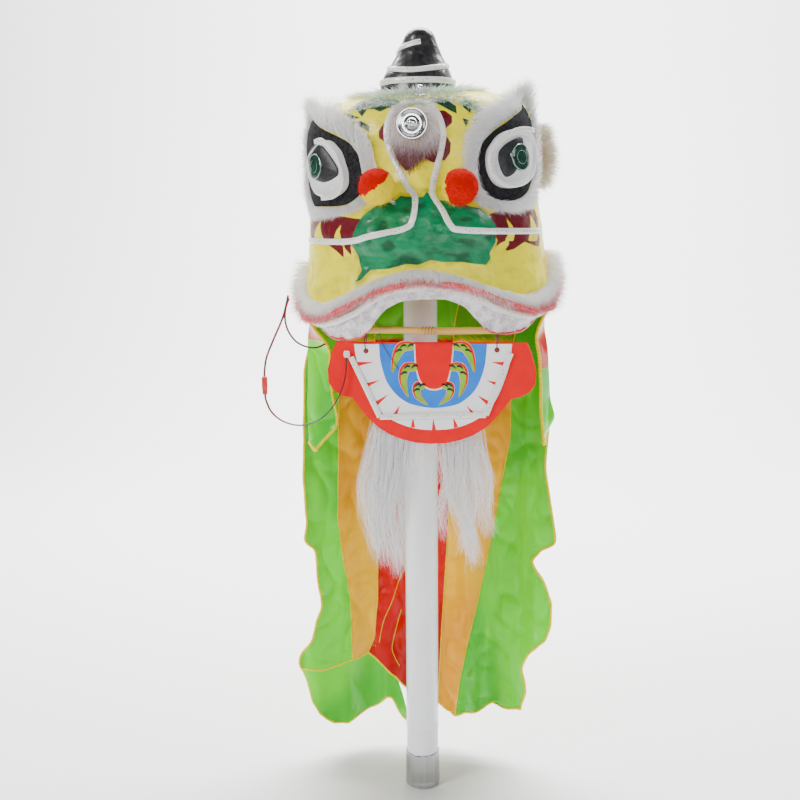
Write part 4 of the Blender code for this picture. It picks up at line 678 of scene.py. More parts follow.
def painted_skull(settings):
    """Glossy paint over papier mache: painted shapes, and painted shade in the wrinkles, are read from the skull's own
    values.
    """
    made, tree, shader = new_finish("papier mache paint", settings.yellow, 0.36, Coat_Weight=0.15,
                                    Coat_Roughness=0.14, Specular_IOR_Level=0.3)
    dull = tuple(channel * 0.86 for channel in settings.yellow)
    colour = blended(tree, stepped(tree, speckle(tree, 45), 0.42, 0.75), settings.yellow, dull)
    # Lighter specks in the maroon: glitter flakes, partly their own colour and partly a painted glint
    glitter_glint = stepped(tree, speckle(tree, 1500, 1), 0.6, 0.68)
    maroon = blended(tree, glitter_glint, settings.maroon, (0.4, 0.05, 0.05))
    green = blended(tree, stepped(tree, speckle(tree, 60), 0.35, 0.7), settings.green,
                    tuple(channel * 0.72 for channel in settings.green))
    dark = blended(tree, stepped(tree, speckle(tree, 300), 0.4, 0.7), (0.008, 0.07, 0.035),
                   (0.015, 0.02, 0.02))
    # Painted shade: yellow and green are darkened in the wrinkles' hollows and round the nose's foot
    crease = value_of(tree, "crease")
    colour = blended(tree, crease, colour, tuple(channel * 0.45 for channel in settings.yellow))
    green = blended(tree, crease, green, tuple(channel * 0.22 for channel in settings.green))
    for name, paint in (("maroon", maroon), ("leaf", dark), ("nose", green)):
        colour = blended(tree, stepped(tree, value_of(tree, name), -0.35, 0.35), colour, paint)
    tree.links.new(colour, shader.inputs["Base Color"])
    bumped(tree, shader, speckle(tree, 110, 6, rough=0.6), 0.55, 0.002)
    return made


def hair_finish(name, root, tip, streak, roughness=0.55, dye=None):
    """Hair that is darker at its root, as painted shade deep in the fur, varies hair by hair, and takes a dye where
    its tint says so.
    """
    made, tree, shader = new_finish(name, tip, roughness, Sheen_Weight=0.25)
    # Painted shade: the root colour is darker than the tip's
    colour = blended(tree, stepped(tree, value_of(tree, "along"), 0.0, 0.6), root, tip)
    colour = blended(tree, stepped(tree, value_of(tree, "shade"), 0.75, 1.0), colour, streak)
    if dye:
        colour = blended(tree, value_of(tree, "tint"), colour, dye)
    tree.links.new(colour, shader.inputs["Base Color"])
    return made


def strip_finish():
    """White light strip: print and cut marks along its length, read from its own map in metres."""
    made, tree, shader = new_finish("light strip", (0.86, 0.86, 0.83), 0.28, Coat_Weight=0.6)
    chart = node(tree, "ShaderNodeUVMap", uv_map="UVMap")
    apart = node(tree, "ShaderNodeSeparateXYZ")
    tree.links.new(chart.outputs["UV"], apart.inputs["Vector"])

    def window(value, low, high, soft):
        return counted(tree, "SUBTRACT", stepped(tree, value, low, low + soft),
                       stepped(tree, value, high, high + soft))

    colour = blended(tree, speckle(tree, 90), (0.9, 0.9, 0.87), (0.8, 0.8, 0.77))
    for spacing, low, high, bottom, top, print_colour in (
            (0.05, 0.024, 0.0252, 0.3, 0.62, (0.03, 0.03, 0.05)),
            (0.05, 0.006, 0.009, 0.34, 0.5, (0.45, 0.16, 0.12)),
            (0.05, 0.0105, 0.0125, 0.55, 0.66, (0.16, 0.14, 0.3)),
            (0.025, 0.016, 0.0172, 0.25, 0.45, (0.1, 0.1, 0.12))):
        place = counted(tree, "WRAP", apart.outputs["X"], spacing, 0.0)
        mark = counted(tree, "MULTIPLY", window(place, low, high, 0.0003),
                       window(apart.outputs["Y"], bottom, top, 0.05))
        colour = blended(tree, mark, colour, print_colour)
    tree.links.new(colour, shader.inputs["Base Color"])
    return made


def satin(name, lit_colour, deep, above):
    """Satin: broad patches of painted light and painted shade, painted sheen streaks, a fine weave, soft gloss, and
    another colour at its top.
    """
    made, tree, shader = new_finish(name, lit_colour, 0.24, Specular_IOR_Level=0.6,
                                    Specular_Tint=(*(0.3 + 0.7 * channel for channel in lit_colour), 1.0))
    # Painted light and shade: noise switches between the lit and the shaded copy of the colour
    lit_and_shaded_patches = stepped(tree, speckle(tree, 6, 1, (1, 1, 0.6)), 0.42, 0.58)
    colour = blended(tree, lit_and_shaded_patches, lit_colour, deep)
    # Painted sheen: lighter upright streaks
    sheen_streaks = stepped(tree, speckle(tree, 34, 3, (1, 1, 0.2)), 0.6, 0.9)
    colour = blended(tree, sheen_streaks, colour, tuple(min(1.0, c * 1.35) for c in lit_colour))
    colour = blended(tree, value_of(tree, "topband"), colour, above)
    tree.links.new(colour, shader.inputs["Base Color"])
    bumped(tree, shader, speckle(tree, 700, 2, (1, 1, 0.35)), 0.25, 0.0003)
    return made


def bamboo_finish():
    made, tree, shader = new_finish("bamboo", (0.7, 0.46, 0.18), 0.42)
    grain = stepped(tree, speckle(tree, 120, 4, (0.06, 1, 1)), 0.35, 0.7)
    colour = blended(tree, grain, (0.76, 0.46, 0.12), (0.52, 0.27, 0.05))
    tree.links.new(colour, shader.inputs["Base Color"])
    bumped(tree, shader, grain, 0.2, 0.0004)
    return made


# Key, values set by name, finish's name, two colours, fineness, roughness, then relief where it has any
MOTTLED = (
    ("felt", dict(Specular_IOR_Level=0.12), "black felt", (0.01, 0.01, 0.012), (0.028, 0.028, 0.032), 260,
     0.75, 0.7, 0.0012, 900),
    ("horn", dict(Coat_Weight=0.3), "black lacquered paper", (0.008, 0.008, 0.01), (0.03, 0.03, 0.034), 90,
     0.32, 0.6, 0.0016, 160),
    ("board", dict(Coat_Weight=0.3), "white eye board", (0.84, 0.84, 0.84), (0.76, 0.77, 0.78), 60, 0.35,
     0.15, 0.0004),
    ("iris", {}, "black iris paper", (0.006, 0.006, 0.008), (0.02, 0.02, 0.024), 300, 0.45, 0.2, 0.0003),
    ("glass", dict(Coat_Weight=1.0), "green glass", (0.006, 0.035, 0.022), (0.012, 0.07, 0.045), 120, 0.08,
     0.1, 0.0003),
    ("ring", {}, "pale glass rim", (0.32, 0.4, 0.36), (0.45, 0.52, 0.48), 200, 0.15),
    ("lamp", {}, "lamp chip", (0.9, 0.88, 0.72), (0.86, 0.82, 0.58), 500, 0.3),
    ("chrome", dict(metallic=1.0), "polished metal", (0.8, 0.8, 0.81), (0.7, 0.7, 0.72), 50, 0.14, 0.05,
     0.0003),
    # The gum's darker grey-pink mottle is painted shade of its wrinkles
    ("gum", {}, "white papier mache", (0.94, 0.92, 0.93), (0.66, 0.58, 0.62), 70, 0.5, 1.0, 0.006, 210),
    ("gum_edge", {}, "red lip edge", (0.66, 0.02, 0.04), (0.8, 0.08, 0.1), 120, 0.4),
    ("string", {}, "dark red string", (0.14, 0.02, 0.02), (0.24, 0.04, 0.04), 900, 0.7, 0.8, 0.0006, 1500),
    ("red_card", dict(Specular_IOR_Level=0.2), "red printed board", (0.84, 0.002, 0.006), (0.78, 0.002,
     0.005), 40, 0.4, 0.06, 0.0002, 900),
    ("white_card", {}, "white print", (0.95, 0.95, 0.98), (0.9, 0.91, 0.95), 30, 0.42, 0.05, 0.0002),
    ("blue_card", {}, "blue print", (0.0, 0.16, 0.72), (0.0, 0.2, 0.78), 30, 0.42, 0.05, 0.0002),
    ("green_card", {}, "green print", (0.28, 0.56, 0.01), (0.2, 0.46, 0.01), 60, 0.42, 0.05, 0.0002),
    ("black_card", {}, "black print", (0.01, 0.01, 0.012), (0.02, 0.02, 0.022), 60, 0.42),
    ("cream_card", {}, "cream line", (0.85, 0.8, 0.62), (0.8, 0.75, 0.56), 60, 0.42),
    ("clear", {}, "clear glue", (0.7, 0.62, 0.64), (0.8, 0.74, 0.76), 200, 0.12, 0.5, 0.001),
    ("gold", dict(Specular_IOR_Level=0.15), "gold braid", (0.98, 0.84, 0.0), (0.86, 0.56, 0.0), 400, 0.4,
     0.6, 0.0006, 1200),
    ("pipe", dict(Coat_Weight=0.3), "white plastic pipe", (0.95, 0.96, 1.0), (0.9, 0.91, 0.96), 14, 0.24,
     0.06, 0.0004, 60),
    ("steel", {}, "brushed steel", (0.46, 0.46, 0.47), (0.38, 0.38, 0.39), 40, 0.22, 0.15, 0.0004, 260, (6,
     6, 0.12), 1.0),
    ("red_wire", {}, "red insulation", (0.5, 0.02, 0.03), (0.4, 0.015, 0.02), 200, 0.32),
    ("black_wire", {}, "black insulation", (0.012, 0.012, 0.013), (0.03, 0.03, 0.03), 200, 0.34),
    ("plug", {}, "red connector", (0.74, 0.04, 0.04), (0.62, 0.03, 0.03), 120, 0.3),
)


class Finishes:
    """Every finish, each under a key of its own."""

    def __init__(self, settings, cloth):
        for key, more, *values in MOTTLED:
            setattr(self, key, mottled(*values, **more))
        self.paint = painted_skull(settings)
        # Root colours that are darker than tip colours are painted shade deep in the fur
        self.fur = hair_finish("white fur", (0.72, 0.71, 0.7), (0.98, 0.98, 0.97), (0.8, 0.79, 0.79))
        self.collar = hair_finish("green tinted fur", (0.55, 0.62, 0.55), (0.9, 0.92, 0.89),
                                  (0.62, 0.76, 0.66), dye=(0.45, 0.68, 0.5))
        self.tuft = hair_finish("maroon tipped fur", (0.8, 0.74, 0.75), (0.9, 0.86, 0.87),
                                (0.7, 0.36, 0.4), dye=(0.16, 0.0, 0.008))
        self.lip = hair_finish("lip fur", (0.9, 0.86, 0.85), (0.98, 0.98, 0.97), (0.9, 0.86, 0.86),
                               dye=(0.66, 0.0, 0.02))
        self.ear = hair_finish("ear fur", (0.78, 0.74, 0.73), (0.97, 0.96, 0.95), (0.86, 0.8, 0.78),
                               dye=(0.4, 0.1, 0.07))
        self.beard = hair_finish("beard hair", (0.86, 0.86, 0.87), (0.96, 0.96, 0.97),
                                 (0.7, 0.7, 0.73), 0.26)
        self.strip = strip_finish()
        self.wool = self.two_tone_wool()
        self.bamboo = bamboo_finish()
        self.green = satin("green satin", cloth.green, cloth.shaded_green, (0.62, 0.02, 0.02))
        self.orange = satin("orange satin", cloth.orange, cloth.shaded_orange, (0.1, 0.42, 0.01))
        self.red = satin("red satin", cloth.red, cloth.deep_red, (0.12, 0.56, 0.02))

    def two_tone_wool(self):
        made, tree, shader = new_finish("red and yellow wool", (0.7, 0.0, 0.0), 0.9,
                                        Specular_IOR_Level=0.1)
        red = blended(tree, speckle(tree, 500), (0.74, 0.004, 0.0), (0.46, 0.0, 0.0))
        yellow = blended(tree, speckle(tree, 500), (0.98, 0.8, 0.0), (0.86, 0.6, 0.0))
        colour = blended(tree, stepped(tree, value_of(tree, "tint"), 0.42, 0.58), red, yellow)
        tree.links.new(colour, shader.inputs["Base Color"])
        bumped(tree, shader, speckle(tree, 900, 4), 0.9, 0.0015)
        return made


# Making of pieces
def value_on(made, key, values):
    layer = made.data.attributes.new(key, "FLOAT", "POINT")
    layer.data.foreach_set("value", np.asarray(values, np.float32))


def finished(name, built, finish, slot, soft=45):
    data = bpy.data.meshes.new(name)
    built.to_mesh(data)
    built.free()
    data.shade_smooth()
    data.set_sharp_from_angle(angle=radians(soft))
    data.materials.append(finish)
    made = bpy.data.objects.new(name, data)
    bpy.context.scene.collection.objects.link(made)
    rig.ride(made, "root")
    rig.slot(made, slot)
    return made


def grid_places(built, columns, rows):
    """Column and row of each point of a new grid."""
    xs = [vert.co.x for vert in built.verts]
    ys = [vert.co.y for vert in built.verts]
    low_x, low_y = min(xs), min(ys)
    wide, tall = max(xs) - low_x, max(ys) - low_y
    return [(round((x - low_x) / wide * columns), round((y - low_y) / tall * rows))
            for x, y in zip(xs, ys)]


def add_grid(built, columns, rows, place, chart=None):
    """Grid moved onto a function of column and row. Joined edges and poles are merged later."""
    fresh = bmesh.new()
    bmesh.ops.create_grid(fresh, x_segments=columns, y_segments=rows, size=1.0)
    spots = grid_places(fresh, columns, rows)
    layer = fresh.loops.layers.uv.new("UVMap")
    fresh.verts.index_update()
    if chart:
        for face in fresh.faces:
            for loop in face.loops:
                loop[layer].uv = chart(*spots[loop.vert.index])
    for vert, (i, j) in zip(fresh.verts, spots):
        vert.co = place(i, j)
    held = bpy.data.meshes.new("held")
    fresh.to_mesh(held)
    fresh.free()
    built.from_mesh(held)
    bpy.data.meshes.remove(held)


def closed_up(built):
    bmesh.ops.remove_doubles(built, verts=built.verts, dist=0.000002)
    bmesh.ops.recalc_face_normals(built, faces=built.faces)


def grid_piece(name, columns, rows, place, finish, slot, chart=None, soft=45):
    built = bmesh.new()
    add_grid(built, columns, rows, place, chart)
    closed_up(built)
    return finished(name, built, finish, slot, soft)


def transported(path):
    """Side and up directions along a path, carried without twist."""
    ways = [(path[min(i + 1, len(path) - 1)] - path[max(i - 1, 0)]).normalized()
            for i in range(len(path))]
    side = ways[0].orthogonal().normalized()
    frames = []
    for way in ways:
        side = (side - way * side.dot(way)).normalized()
        frames.append((side, way.cross(side)))
    return frames


def add_tube(built, path, radius, sides):
    """Round closed tube. The radius is a number or a function of the share of the way."""
    frames = transported(path)
    last = len(path) - 1

    def place(i, j):
        k = min(max(j - 1, 0), last)
        side, up = frames[k]
        size = radius(k / last) if callable(radius) else radius
        if j == 0 or j == last + 2:
            size = 0.0
        turn = 2 * pi * i / sides
        return path[k] + (side * cos(turn) + up * sin(turn)) * size
    add_grid(built, sides, last + 2, place)


def tube_piece(name, path, radius, finish, slot, sides):
    built = bmesh.new()
    add_tube(built, path, radius, sides)
    closed_up(built)
    return finished(name, built, finish, slot)


def turned_piece(name, profile, sides, finish, slot, place, soft):
    """Round piece from a profile of radius and height, spun and then put in its place."""
    built = bmesh.new()
    line = [built.verts.new((radius, 0, height)) for radius, height in profile]
    edges = [built.edges.new(pair) for pair in zip(line, line[1:])]
    bmesh.ops.spin(built, geom=line + edges, cent=(0, 0, 0), axis=(0, 0, 1), dvec=(0, 0, 0),
                   angle=2 * pi, steps=sides, use_merge=True, use_duplicate=False)
    closed_up(built)
    bmesh.ops.transform(built, matrix=place, verts=built.verts)
    return finished(name, built, finish, slot, soft)


def standing(spot, normal):
    return Matrix.Translation(spot) @ normal.to_track_quat("Z", "Y").to_matrix().to_4x4()


def ribbons(name, paths, width, finish, slot, facing, tint=None, seed=1, taper=0.85):
    """Hairs as tapered ribbons, all in one mesh, with their own values for colour."""
    paths = np.asarray(paths, float)
    count, points = paths.shape[0], paths.shape[1]
    columns, rows = 2 * count - 1, points - 1
    built = bmesh.new()
    bmesh.ops.create_grid(built, x_segments=columns, y_segments=rows, size=1.0)
    spots = grid_places(built, columns, rows)
    built.verts.index_update()
    between = [face for face in built.faces
               if min(spots[vert.index][0] for vert in face.verts) % 2 == 1]
    bmesh.ops.delete(built, geom=between, context="FACES")
    made = finished(name, built, finish, slot, 180)
    spots = np.array(spots)
    hair, edge, row = spots[:, 0] // 2, spots[:, 0] % 2 * 2 - 1, spots[:, 1]
    along = np.gradient(paths, axis=1)
    side = np.cross(along, np.asarray(facing, float)[:, None, :])
    side /= np.maximum(np.linalg.norm(side, axis=2, keepdims=True), 1e-9)
    share = np.arange(points) / rows
    size = width / 2 * (1 - taper * share ** 1.6)
    spread = paths[hair, row] + side[hair, row] * (edge * size[row])[:, None]
    made.data.vertices.foreach_set("co", spread.astype(np.float32).ravel())
    draw = np.random.default_rng(seed)
    value_on(made, "along", share[row])
    value_on(made, "shade", draw.random(count)[hair])
    value_on(made, "tint", np.zeros(len(hair)) if tint is None else tint[hair, row])
    made.data.update()
    return made


def combed(roots, ways, lengths, points, droop, seed, wave=0.1, lift=None):
    """Paths of hairs that leave their roots one way, droop and wander."""
    draw = np.random.default_rng(seed)
    roots, ways = np.asarray(roots, float), np.asarray(ways, float)
    ways = ways + draw.normal(0, 0.16, ways.shape)
    ways /= np.linalg.norm(ways, axis=1, keepdims=True)
    share = np.linspace(0, 1, points)[None, :, None]
    long = np.asarray(lengths, float)[:, None, None]
    down = np.array((0.0, 0.0, -1.0))
    sway = draw.normal(0, wave, (len(roots), 1, 3))
    paths = roots[:, None, :] + long * (ways[:, None, :] * share + down * droop * share ** 2
                                        + sway * share ** 2)
    if lift is not None:
        paths += np.asarray(lift, float) * long * 0.5 * (share - share ** 2)
    return paths


class Coat:
    """Hairs that are gathered one by one and then made in one mesh."""

    def __init__(self, seed):
        self.seed = seed
        self.draw = np.random.default_rng(seed)
        self.hairs = []

    def add(self, root, way, length, tint=0.0):
        self.hairs.append((root, way, length, tint))

    def grow(self, name, node, finish, slot, points, droop, width, spread, ahead, fade=(1, 1),
             most=1.0, lift=None):
        """Fade: how much of a hair's tint shows at its root and at its tip."""
        roots, ways, lengths, tints = zip(*self.hairs)
        paths = combed(roots, ways, lengths, points, droop, self.seed + 1, lift=lift)
        facing = self.draw.normal(0, spread, (len(roots), 3)) + np.array(ahead)
        tint = np.clip(np.outer(tints, np.linspace(*fade, points)), 0, most)
        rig.replaces(ribbons(name, paths, width, finish, slot, facing, tint, self.seed + 2), node)


# The skull's fine skin, which everything on the head is laid on
class Head:
    skin = None
    finishes = None


def rim_height(degrees):
    turn = abs((degrees + 180) % 360 - 180)
    return RIM_Z + HEAD_HEIGHT * rounded(RIM_ROWS, turn, 1, 9)


def skull_point(degrees, row, inside=0.0):
    """Skin of the skull in the head's upright frame, drawn in towards the pole by a distance."""
    sine, cosine = sin(radians(degrees)), cos(radians(degrees))
    soft_row = 0.02 if 0.08 < row < 0.97 else 0.0
    across = rounded(SKULL_ROWS, row, 2, soft_row) * HALF_HEAD
    depth = rounded(SKULL_ROWS, row, 3, soft_row) * HEAD_FRONT
    if cosine <= 0:
        depth = rounded(SKULL_ROWS, row, 4, soft_row) * HEAD_BACK
    height = rounded(SKULL_ROWS, row, 1, soft_row)
    z = RIM_Z + height * HEAD_HEIGHT
    if row > SKULL_ROWS[FLARE_ROW][0]:
        flare = SKULL_ROWS[FLARE_ROW][1]
        flare_z = RIM_Z + flare * HEAD_HEIGHT
        z = flare_z - (flare - height) / flare * (flare_z - rim_height(degrees))
    x = across * copysign(abs(sine) ** (2 / BLUNTNESS), sine)
    x += FACE_SHIFT * smooth((row - 0.45) / 0.3) * max(0.0, cosine)
    y = -depth * copysign(abs(cosine) ** (2 / BLUNTNESS), cosine)
    if cosine > 0:
        for middle_x, middle_z, reach_x, reach_z, rise in SWELLINGS:
            off_x = (x / HALF_HEAD - middle_x) / reach_x
            off_z = ((z - RIM_Z) / HEAD_HEIGHT - middle_z) / reach_z
            y -= rise * HEAD_FRONT * exp(-off_x ** 2 - off_z ** 2)
    if inside:
        flat = Vector((x, y, 0))
        flat *= 1 - inside / max(flat.length, 0.02)
        return Vector((flat.x, flat.y, z - inside * 0.3))
    return Vector((x, y, z))


def drop(start, way, deepest=None):
    """Where a ray meets the skull's skin, and the skin's normal there."""
    spot, normal, _, far = Head.skin.ray_cast(start, way)
    if spot is None or (deepest and far > deepest):
        far = deepest or 0.3
        return start + way * far, -way
    return spot, normal


def on_skin(pixel, lift=0.0):
    """Point of the skull under a pixel, or the nearest one inwards along the row."""
    inward = 1 if pixel[0] < FACE_MIDDLE_PIXEL else -1
    for step in range(14):
        spot, normal, _, _ = Head.skin.ray_cast(EYE_POINT, sight((pixel[0] + inward * step, pixel[1])))
        if spot is not None:
            return spot + normal * lift, normal
    raise RuntimeError("pixel %s is off the skull" % (tuple(pixel),))


def eye_chart(side):
    """Function from millimetres round an eye to a point and normal on the skull."""
    middle = Vector((side * EYE_X, -0.4, EYE_Z))
    spot = Head.skin.ray_cast(to_world(middle), Vector((0, 1, 0)))[0]
    out = turned_way((side * sin(EYE_TURN), -cos(EYE_TURN), 0))
    aside = turned_way((side * cos(EYE_TURN), sin(EYE_TURN), 0))
    up = turned_way((0, 0, 1))

    def place(a, b, lift=0.0):
        start = spot + aside * a / 1000 + up * b / 1000 + out * 0.1
        hit, _ = drop(start, -out, 0.1 + EYE_SINK)
        return hit + out * lift
    return place, out


def patch_piece(name, outline, place, profile, steps, finish, slot):
    """Patch laid on the skull. Profile: share of the way from middle to edge, and height."""
    line = flat_curve(outline, steps, True)
    middle = sum(line, Vector((0, 0))) / steps
    cache = {}

    def at(i, j):
        share, height = profile[j]
        key = (i % steps if share > 0 else 0, j)
        if key not in cache:
            spot = middle.lerp(line[i % steps], share)
            cache[key] = place(spot.x, spot.y, height)
        return cache[key]
    return grid_piece(name, steps, len(profile) - 1, at, finish, slot, None, 60)


def domed(height, edge, rings):
    """Profile of a patch: a dome down to its edge, then a flat underside."""
    rows = [(k / rings, height - (height - edge) * (k / rings) ** 2.4) for k in range(rings + 1)]
    return rows + [(share, UNDERSIDE) for share in (1.0, 0.5, 0.0)]


def strip_piece(name, spots, finishes, width=STRIP_WIDTH):
    """Light strip along points that each have a normal, with its lamp chips, in one mesh."""
    built = bmesh.new()
    run = travelled([spot for spot, _ in spots])
    section = ((-0.5, 0.0), (-0.49, 0.7), (-0.4, 1.0), (0.4, 1.0), (0.49, 0.7), (0.5, 0.0), (0.0, -0.1))
    last = len(spots) - 1

    def place(i, j):
        k = min(max(j - 1, 0), last)
        spot, normal = spots[k]
        along = (spots[min(k + 1, last)][0] - spots[max(k - 1, 0)][0]).normalized()
        side = along.cross(normal).normalized()
        if j == 0 or j == last + 2:
            return spot + normal * STRIP_THICK * 0.4
        out, high = section[i % len(section)]
        return spot + side * width * out + normal * STRIP_THICK * high

    def chart(i, j):
        k = min(max(j - 1, 0), last)
        return run[k], section[i % len(section)][0] + 0.5
    add_grid(built, len(section), last + 2, place, chart)
    closed_up(built)
    at, k = CHIP_SPACING / 2, 0
    while at < run[-1] - CHIP_SPACING / 4:
        while run[k + 1] < at:
            k += 1
        share = (at - run[k]) / max(run[k + 1] - run[k], 1e-9)
        (a, normal), (b, _) = spots[k], spots[k + 1]
        along = (b - a).normalized()
        side = along.cross(normal).normalized()
        turn = Matrix((along, side, normal)).transposed().to_4x4()
        box = bmesh.ops.create_cube(built, size=1.0)
        size = Matrix.Diagonal((0.0034, 0.0026, 0.0007, 1.0))
        spot = a.lerp(b, share) + normal * (STRIP_THICK + 0.0002) - side * width * 0.06
        bmesh.ops.transform(built, matrix=Matrix.Translation(spot) @ turn @ size, verts=box["verts"])
        for face in {face for vert in box["verts"] for face in vert.link_faces}:
            face.material_index = 1
        at += CHIP_SPACING
    made = finished(name, built, finishes.strip, "light_strip", 50)
    made.data.materials.append(finishes.lamp)
    return made


# Pieces of the head
def make_skull(s, finishes):
    columns, rows = 300, 128

    def degrees_at(i):
        share = 2 * i / columns - 1
        return 180 * (0.62 * share + 0.38 * share ** 3)

    def place(i, j):
        if j == 0:
            return to_world((0, 0, CROWN_Z))
        return to_world(skull_point(degrees_at(i % columns), (j / rows) ** 0.95))
    built = bmesh.new()
    add_grid(built, columns, rows, place)
    closed_up(built)
    built.verts.ensure_lookup_table()
    points = np.array([vert.co for vert in built.verts])
    normals = np.array([vert.normal for vert in built.verts])
    if (points - points.mean(axis=0) * (1, 1, 0))[0] @ normals[0] < 0:
        bmesh.ops.reverse_faces(built, faces=built.faces)
        normals = -normals
    pixels = pixels_of(points)
    seen = (normals @ np.array(AHEAD) < 0.15) & (points[:, 1] < 0.02)
    rise = np.zeros(len(points))
    for across, down, reach_x, reach_y, height in LUMPS:
        off = ((pixels[:, 0] - across) / reach_x) ** 2 + ((pixels[:, 1] - down) / reach_y) ** 2
        rise += height * s.relief * np.exp(-off) * seen
    nose = np.where(seen, inside_by(pixels, NOSE), -20)
    maroon = np.where(seen, np.max([inside_by(pixels, line) for line in MAROON], axis=0), -20)
    flames = np.max([inside_by(pixels, line) for line in FLAMES], axis=0)
    maroon = np.minimum(maroon, -flames) - np.maximum(points[:, 1] + 0.06, 0) * 500
    leaf = np.where(seen, np.max([inside_by(pixels, line) for line in LEAVES], axis=0), -20)
    rise += 0.0016 * s.relief * np.clip(nose / 4 + 0.5, 0, 1)
    crumple = np.array([noise.fractal(Vector(p) * 42, 0.9, 2.0, 4) for p in points])
    wrinkle = np.array([noise.ridged_multi_fractal(Vector((p[0] * 34, p[1] * 34, p[2] * 70)), 0.8, 2.1,
                                                   5, 1.0, 2.0) for p in points])
    rise += 0.0009 * crumple + 0.0016 * (wrinkle - 1.0) * np.clip(nose / 6 + 0.6, 0.35, 1)
    # Painted shade for the wrinkles' hollows and for a band round the foot of the raised nose
    edge = np.exp(-((nose + 1.5) / 2.2) ** 2) * 0.7
    low, middle = np.percentile(wrinkle, 3), np.percentile(wrinkle, 24)
    crease = np.clip((middle - wrinkle) / (middle - low), 0, 1) * np.clip(nose / 6 + 0.7, 0.3, 0.8)
    crease = np.clip(crease + edge * (crumple < 0.05), 0, 0.85)
    points += normals * rise[:, None]
    for vert, spot in zip(built.verts, points):
        vert.co = spot
    built.normal_update()
    Head.skin = BVHTree.FromBMesh(built)
    made = finished("papier_mache_skull", built, finishes.paint, "skull_paint", 60)
    for key, value in (("nose", nose), ("maroon", maroon), ("leaf", leaf), ("crease", crease)):
        value_on(made, key, value)
    wall = made.modifiers.new("Wall", "SOLIDIFY")
    wall.thickness = WALL * 0.8
    wall.offset = -1
    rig.replaces(made, "head_shell")


def fur_between(name, node, place, out, inner, outer, s, finish, seed):
    """Hair that grows from a band between two outlines and leans away from the inner one."""
    coat = Coat(seed)
    draw, steps = coat.draw, 96
    near, far = flat_curve(inner, steps, True), flat_curve(outer, steps, True)
    for _ in range(s.brow_hairs):
        k = draw.random() * steps
        i, share = int(k) % steps, k % 1
        low = near[i].lerp(near[(i + 1) % steps], share)
        high = far[i].lerp(far[(i + 1) % steps], share)
        spot = low.lerp(high, draw.random())
        root = place(spot.x, spot.y, 0.0005)
        beyond = high + (high - low).normalized() * 6
        away = (place(beyond.x, beyond.y, 0.0) - root)
        if away.length < 1e-6:
            continue
        way = (away.normalized() * 0.75 + out * 0.25 + Vector((0, 0, 0.12))).normalized()
        short = mixed(0.55, 1.0, smooth((spot.y + 45) / 30)) * mixed(0.7, 1.0, smooth((spot.x + 50) / 30))
        coat.add(root, way,
                 (s.fur_length + 0.0007 * (high - low).length) * short * draw.uniform(0.6, 1.15))
    coat.grow(name, node, finish, "white_fur", 5, 0.12, 0.00055, 0.5, out, lift=out)


def make_eyes(s, finishes):
    for side, hand in ((-1, "left"), (1, "right")):
        eye = EYES[side]
        place, out = eye_chart(side)
        felt = patch_piece("eye_felt_" + hand, eye["felt"], place, domed(0.003, 0.0012, 8), 64,
                           finishes.felt, "black_felt")
        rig.replaces(felt, "eye_surround_" + hand)
        profile = [(0.0, 0.0105), (0.3, 0.0102), (0.55, 0.0093), (0.74, 0.0078), (0.8, 0.0082),
                   (0.86, 0.0102), (0.93, 0.0108), (0.985, 0.0092), (1.0, 0.0055), (1.0, 0.0005),
                   (0.5, 0.0005), (0.0, 0.0005)]
        dish = patch_piece("eye_board_" + hand, eye["dish"], place, profile, 72, finishes.board,
                           "eye_board")
        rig.replaces(dish, "eye_dish_" + hand)
        iris = patch_piece("eye_iris_" + hand, eye["iris"], place,
                           [(0.0, 0.0114), (0.5, 0.0111), (0.97, 0.0104), (1.0, 0.0098), (1.0, 0.0085),
                            (0.0, 0.0085)], 64, finishes.iris, "iris_paper")
        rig.replaces(iris, "iris_" + hand)
        middle_a, middle_b, wide, tall = eye["pupil"]
        circle = [(middle_a + wide * cos(2 * pi * k / 12),
                   middle_b + tall * sin(2 * pi * k / 12)) for k in range(12)]
        pupil = patch_piece("eye_glass_" + hand, circle, place,
                            [(0.0, 0.0152), (0.3, 0.0151), (0.6, 0.0147), (0.84, 0.0141), (0.95, 0.0136),
                             (0.99, 0.0131), (1.0, 0.0124), (1.0, 0.0105), (0.0, 0.0105)],
                            48, finishes.glass, "pupil_glass")
        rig.replaces(pupil, "pupil_" + hand)
        for number, share in enumerate((0.5, 0.95)):
            ring = [place(middle_a + wide * share * cos(2 * pi * k / 48),
                          middle_b + tall * share * sin(2 * pi * k / 48),
                          (0.0148, 0.0137)[number]) for k in range(49)]
            tube_piece("eye_glass_ring_%s_%d" % (hand, number), ring, (0.00022, 0.0005)[number],
                       finishes.ring, "pupil_glass", 6)
        spots = [(place(p.x * 0.97, p.y * 0.97, 0.0104), out) for p in flat_curve(eye["strip"], 60)]
        strip = strip_piece("eye_strip_" + hand, spots, finishes, STRIP_WIDTH * 0.8)
        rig.replaces(strip, "eye_light_strip_" + hand)
        spots = []
        for p in flat_curve(eye["brow"], 40):
            hit, normal = drop(place(p.x - 5, p.y, 0.1), -out)
            spots.append((hit + normal * 0.003, normal))
        strip = strip_piece("brow_strip_" + hand, spots, finishes)
        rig.replaces(strip, "brow_light_strip_" + hand)
        fur_between("brow_hair_" + hand, "brow_fur_" + hand, place, out, eye["felt"], eye["fur"], s,
                    finishes.fur, 11 + side)


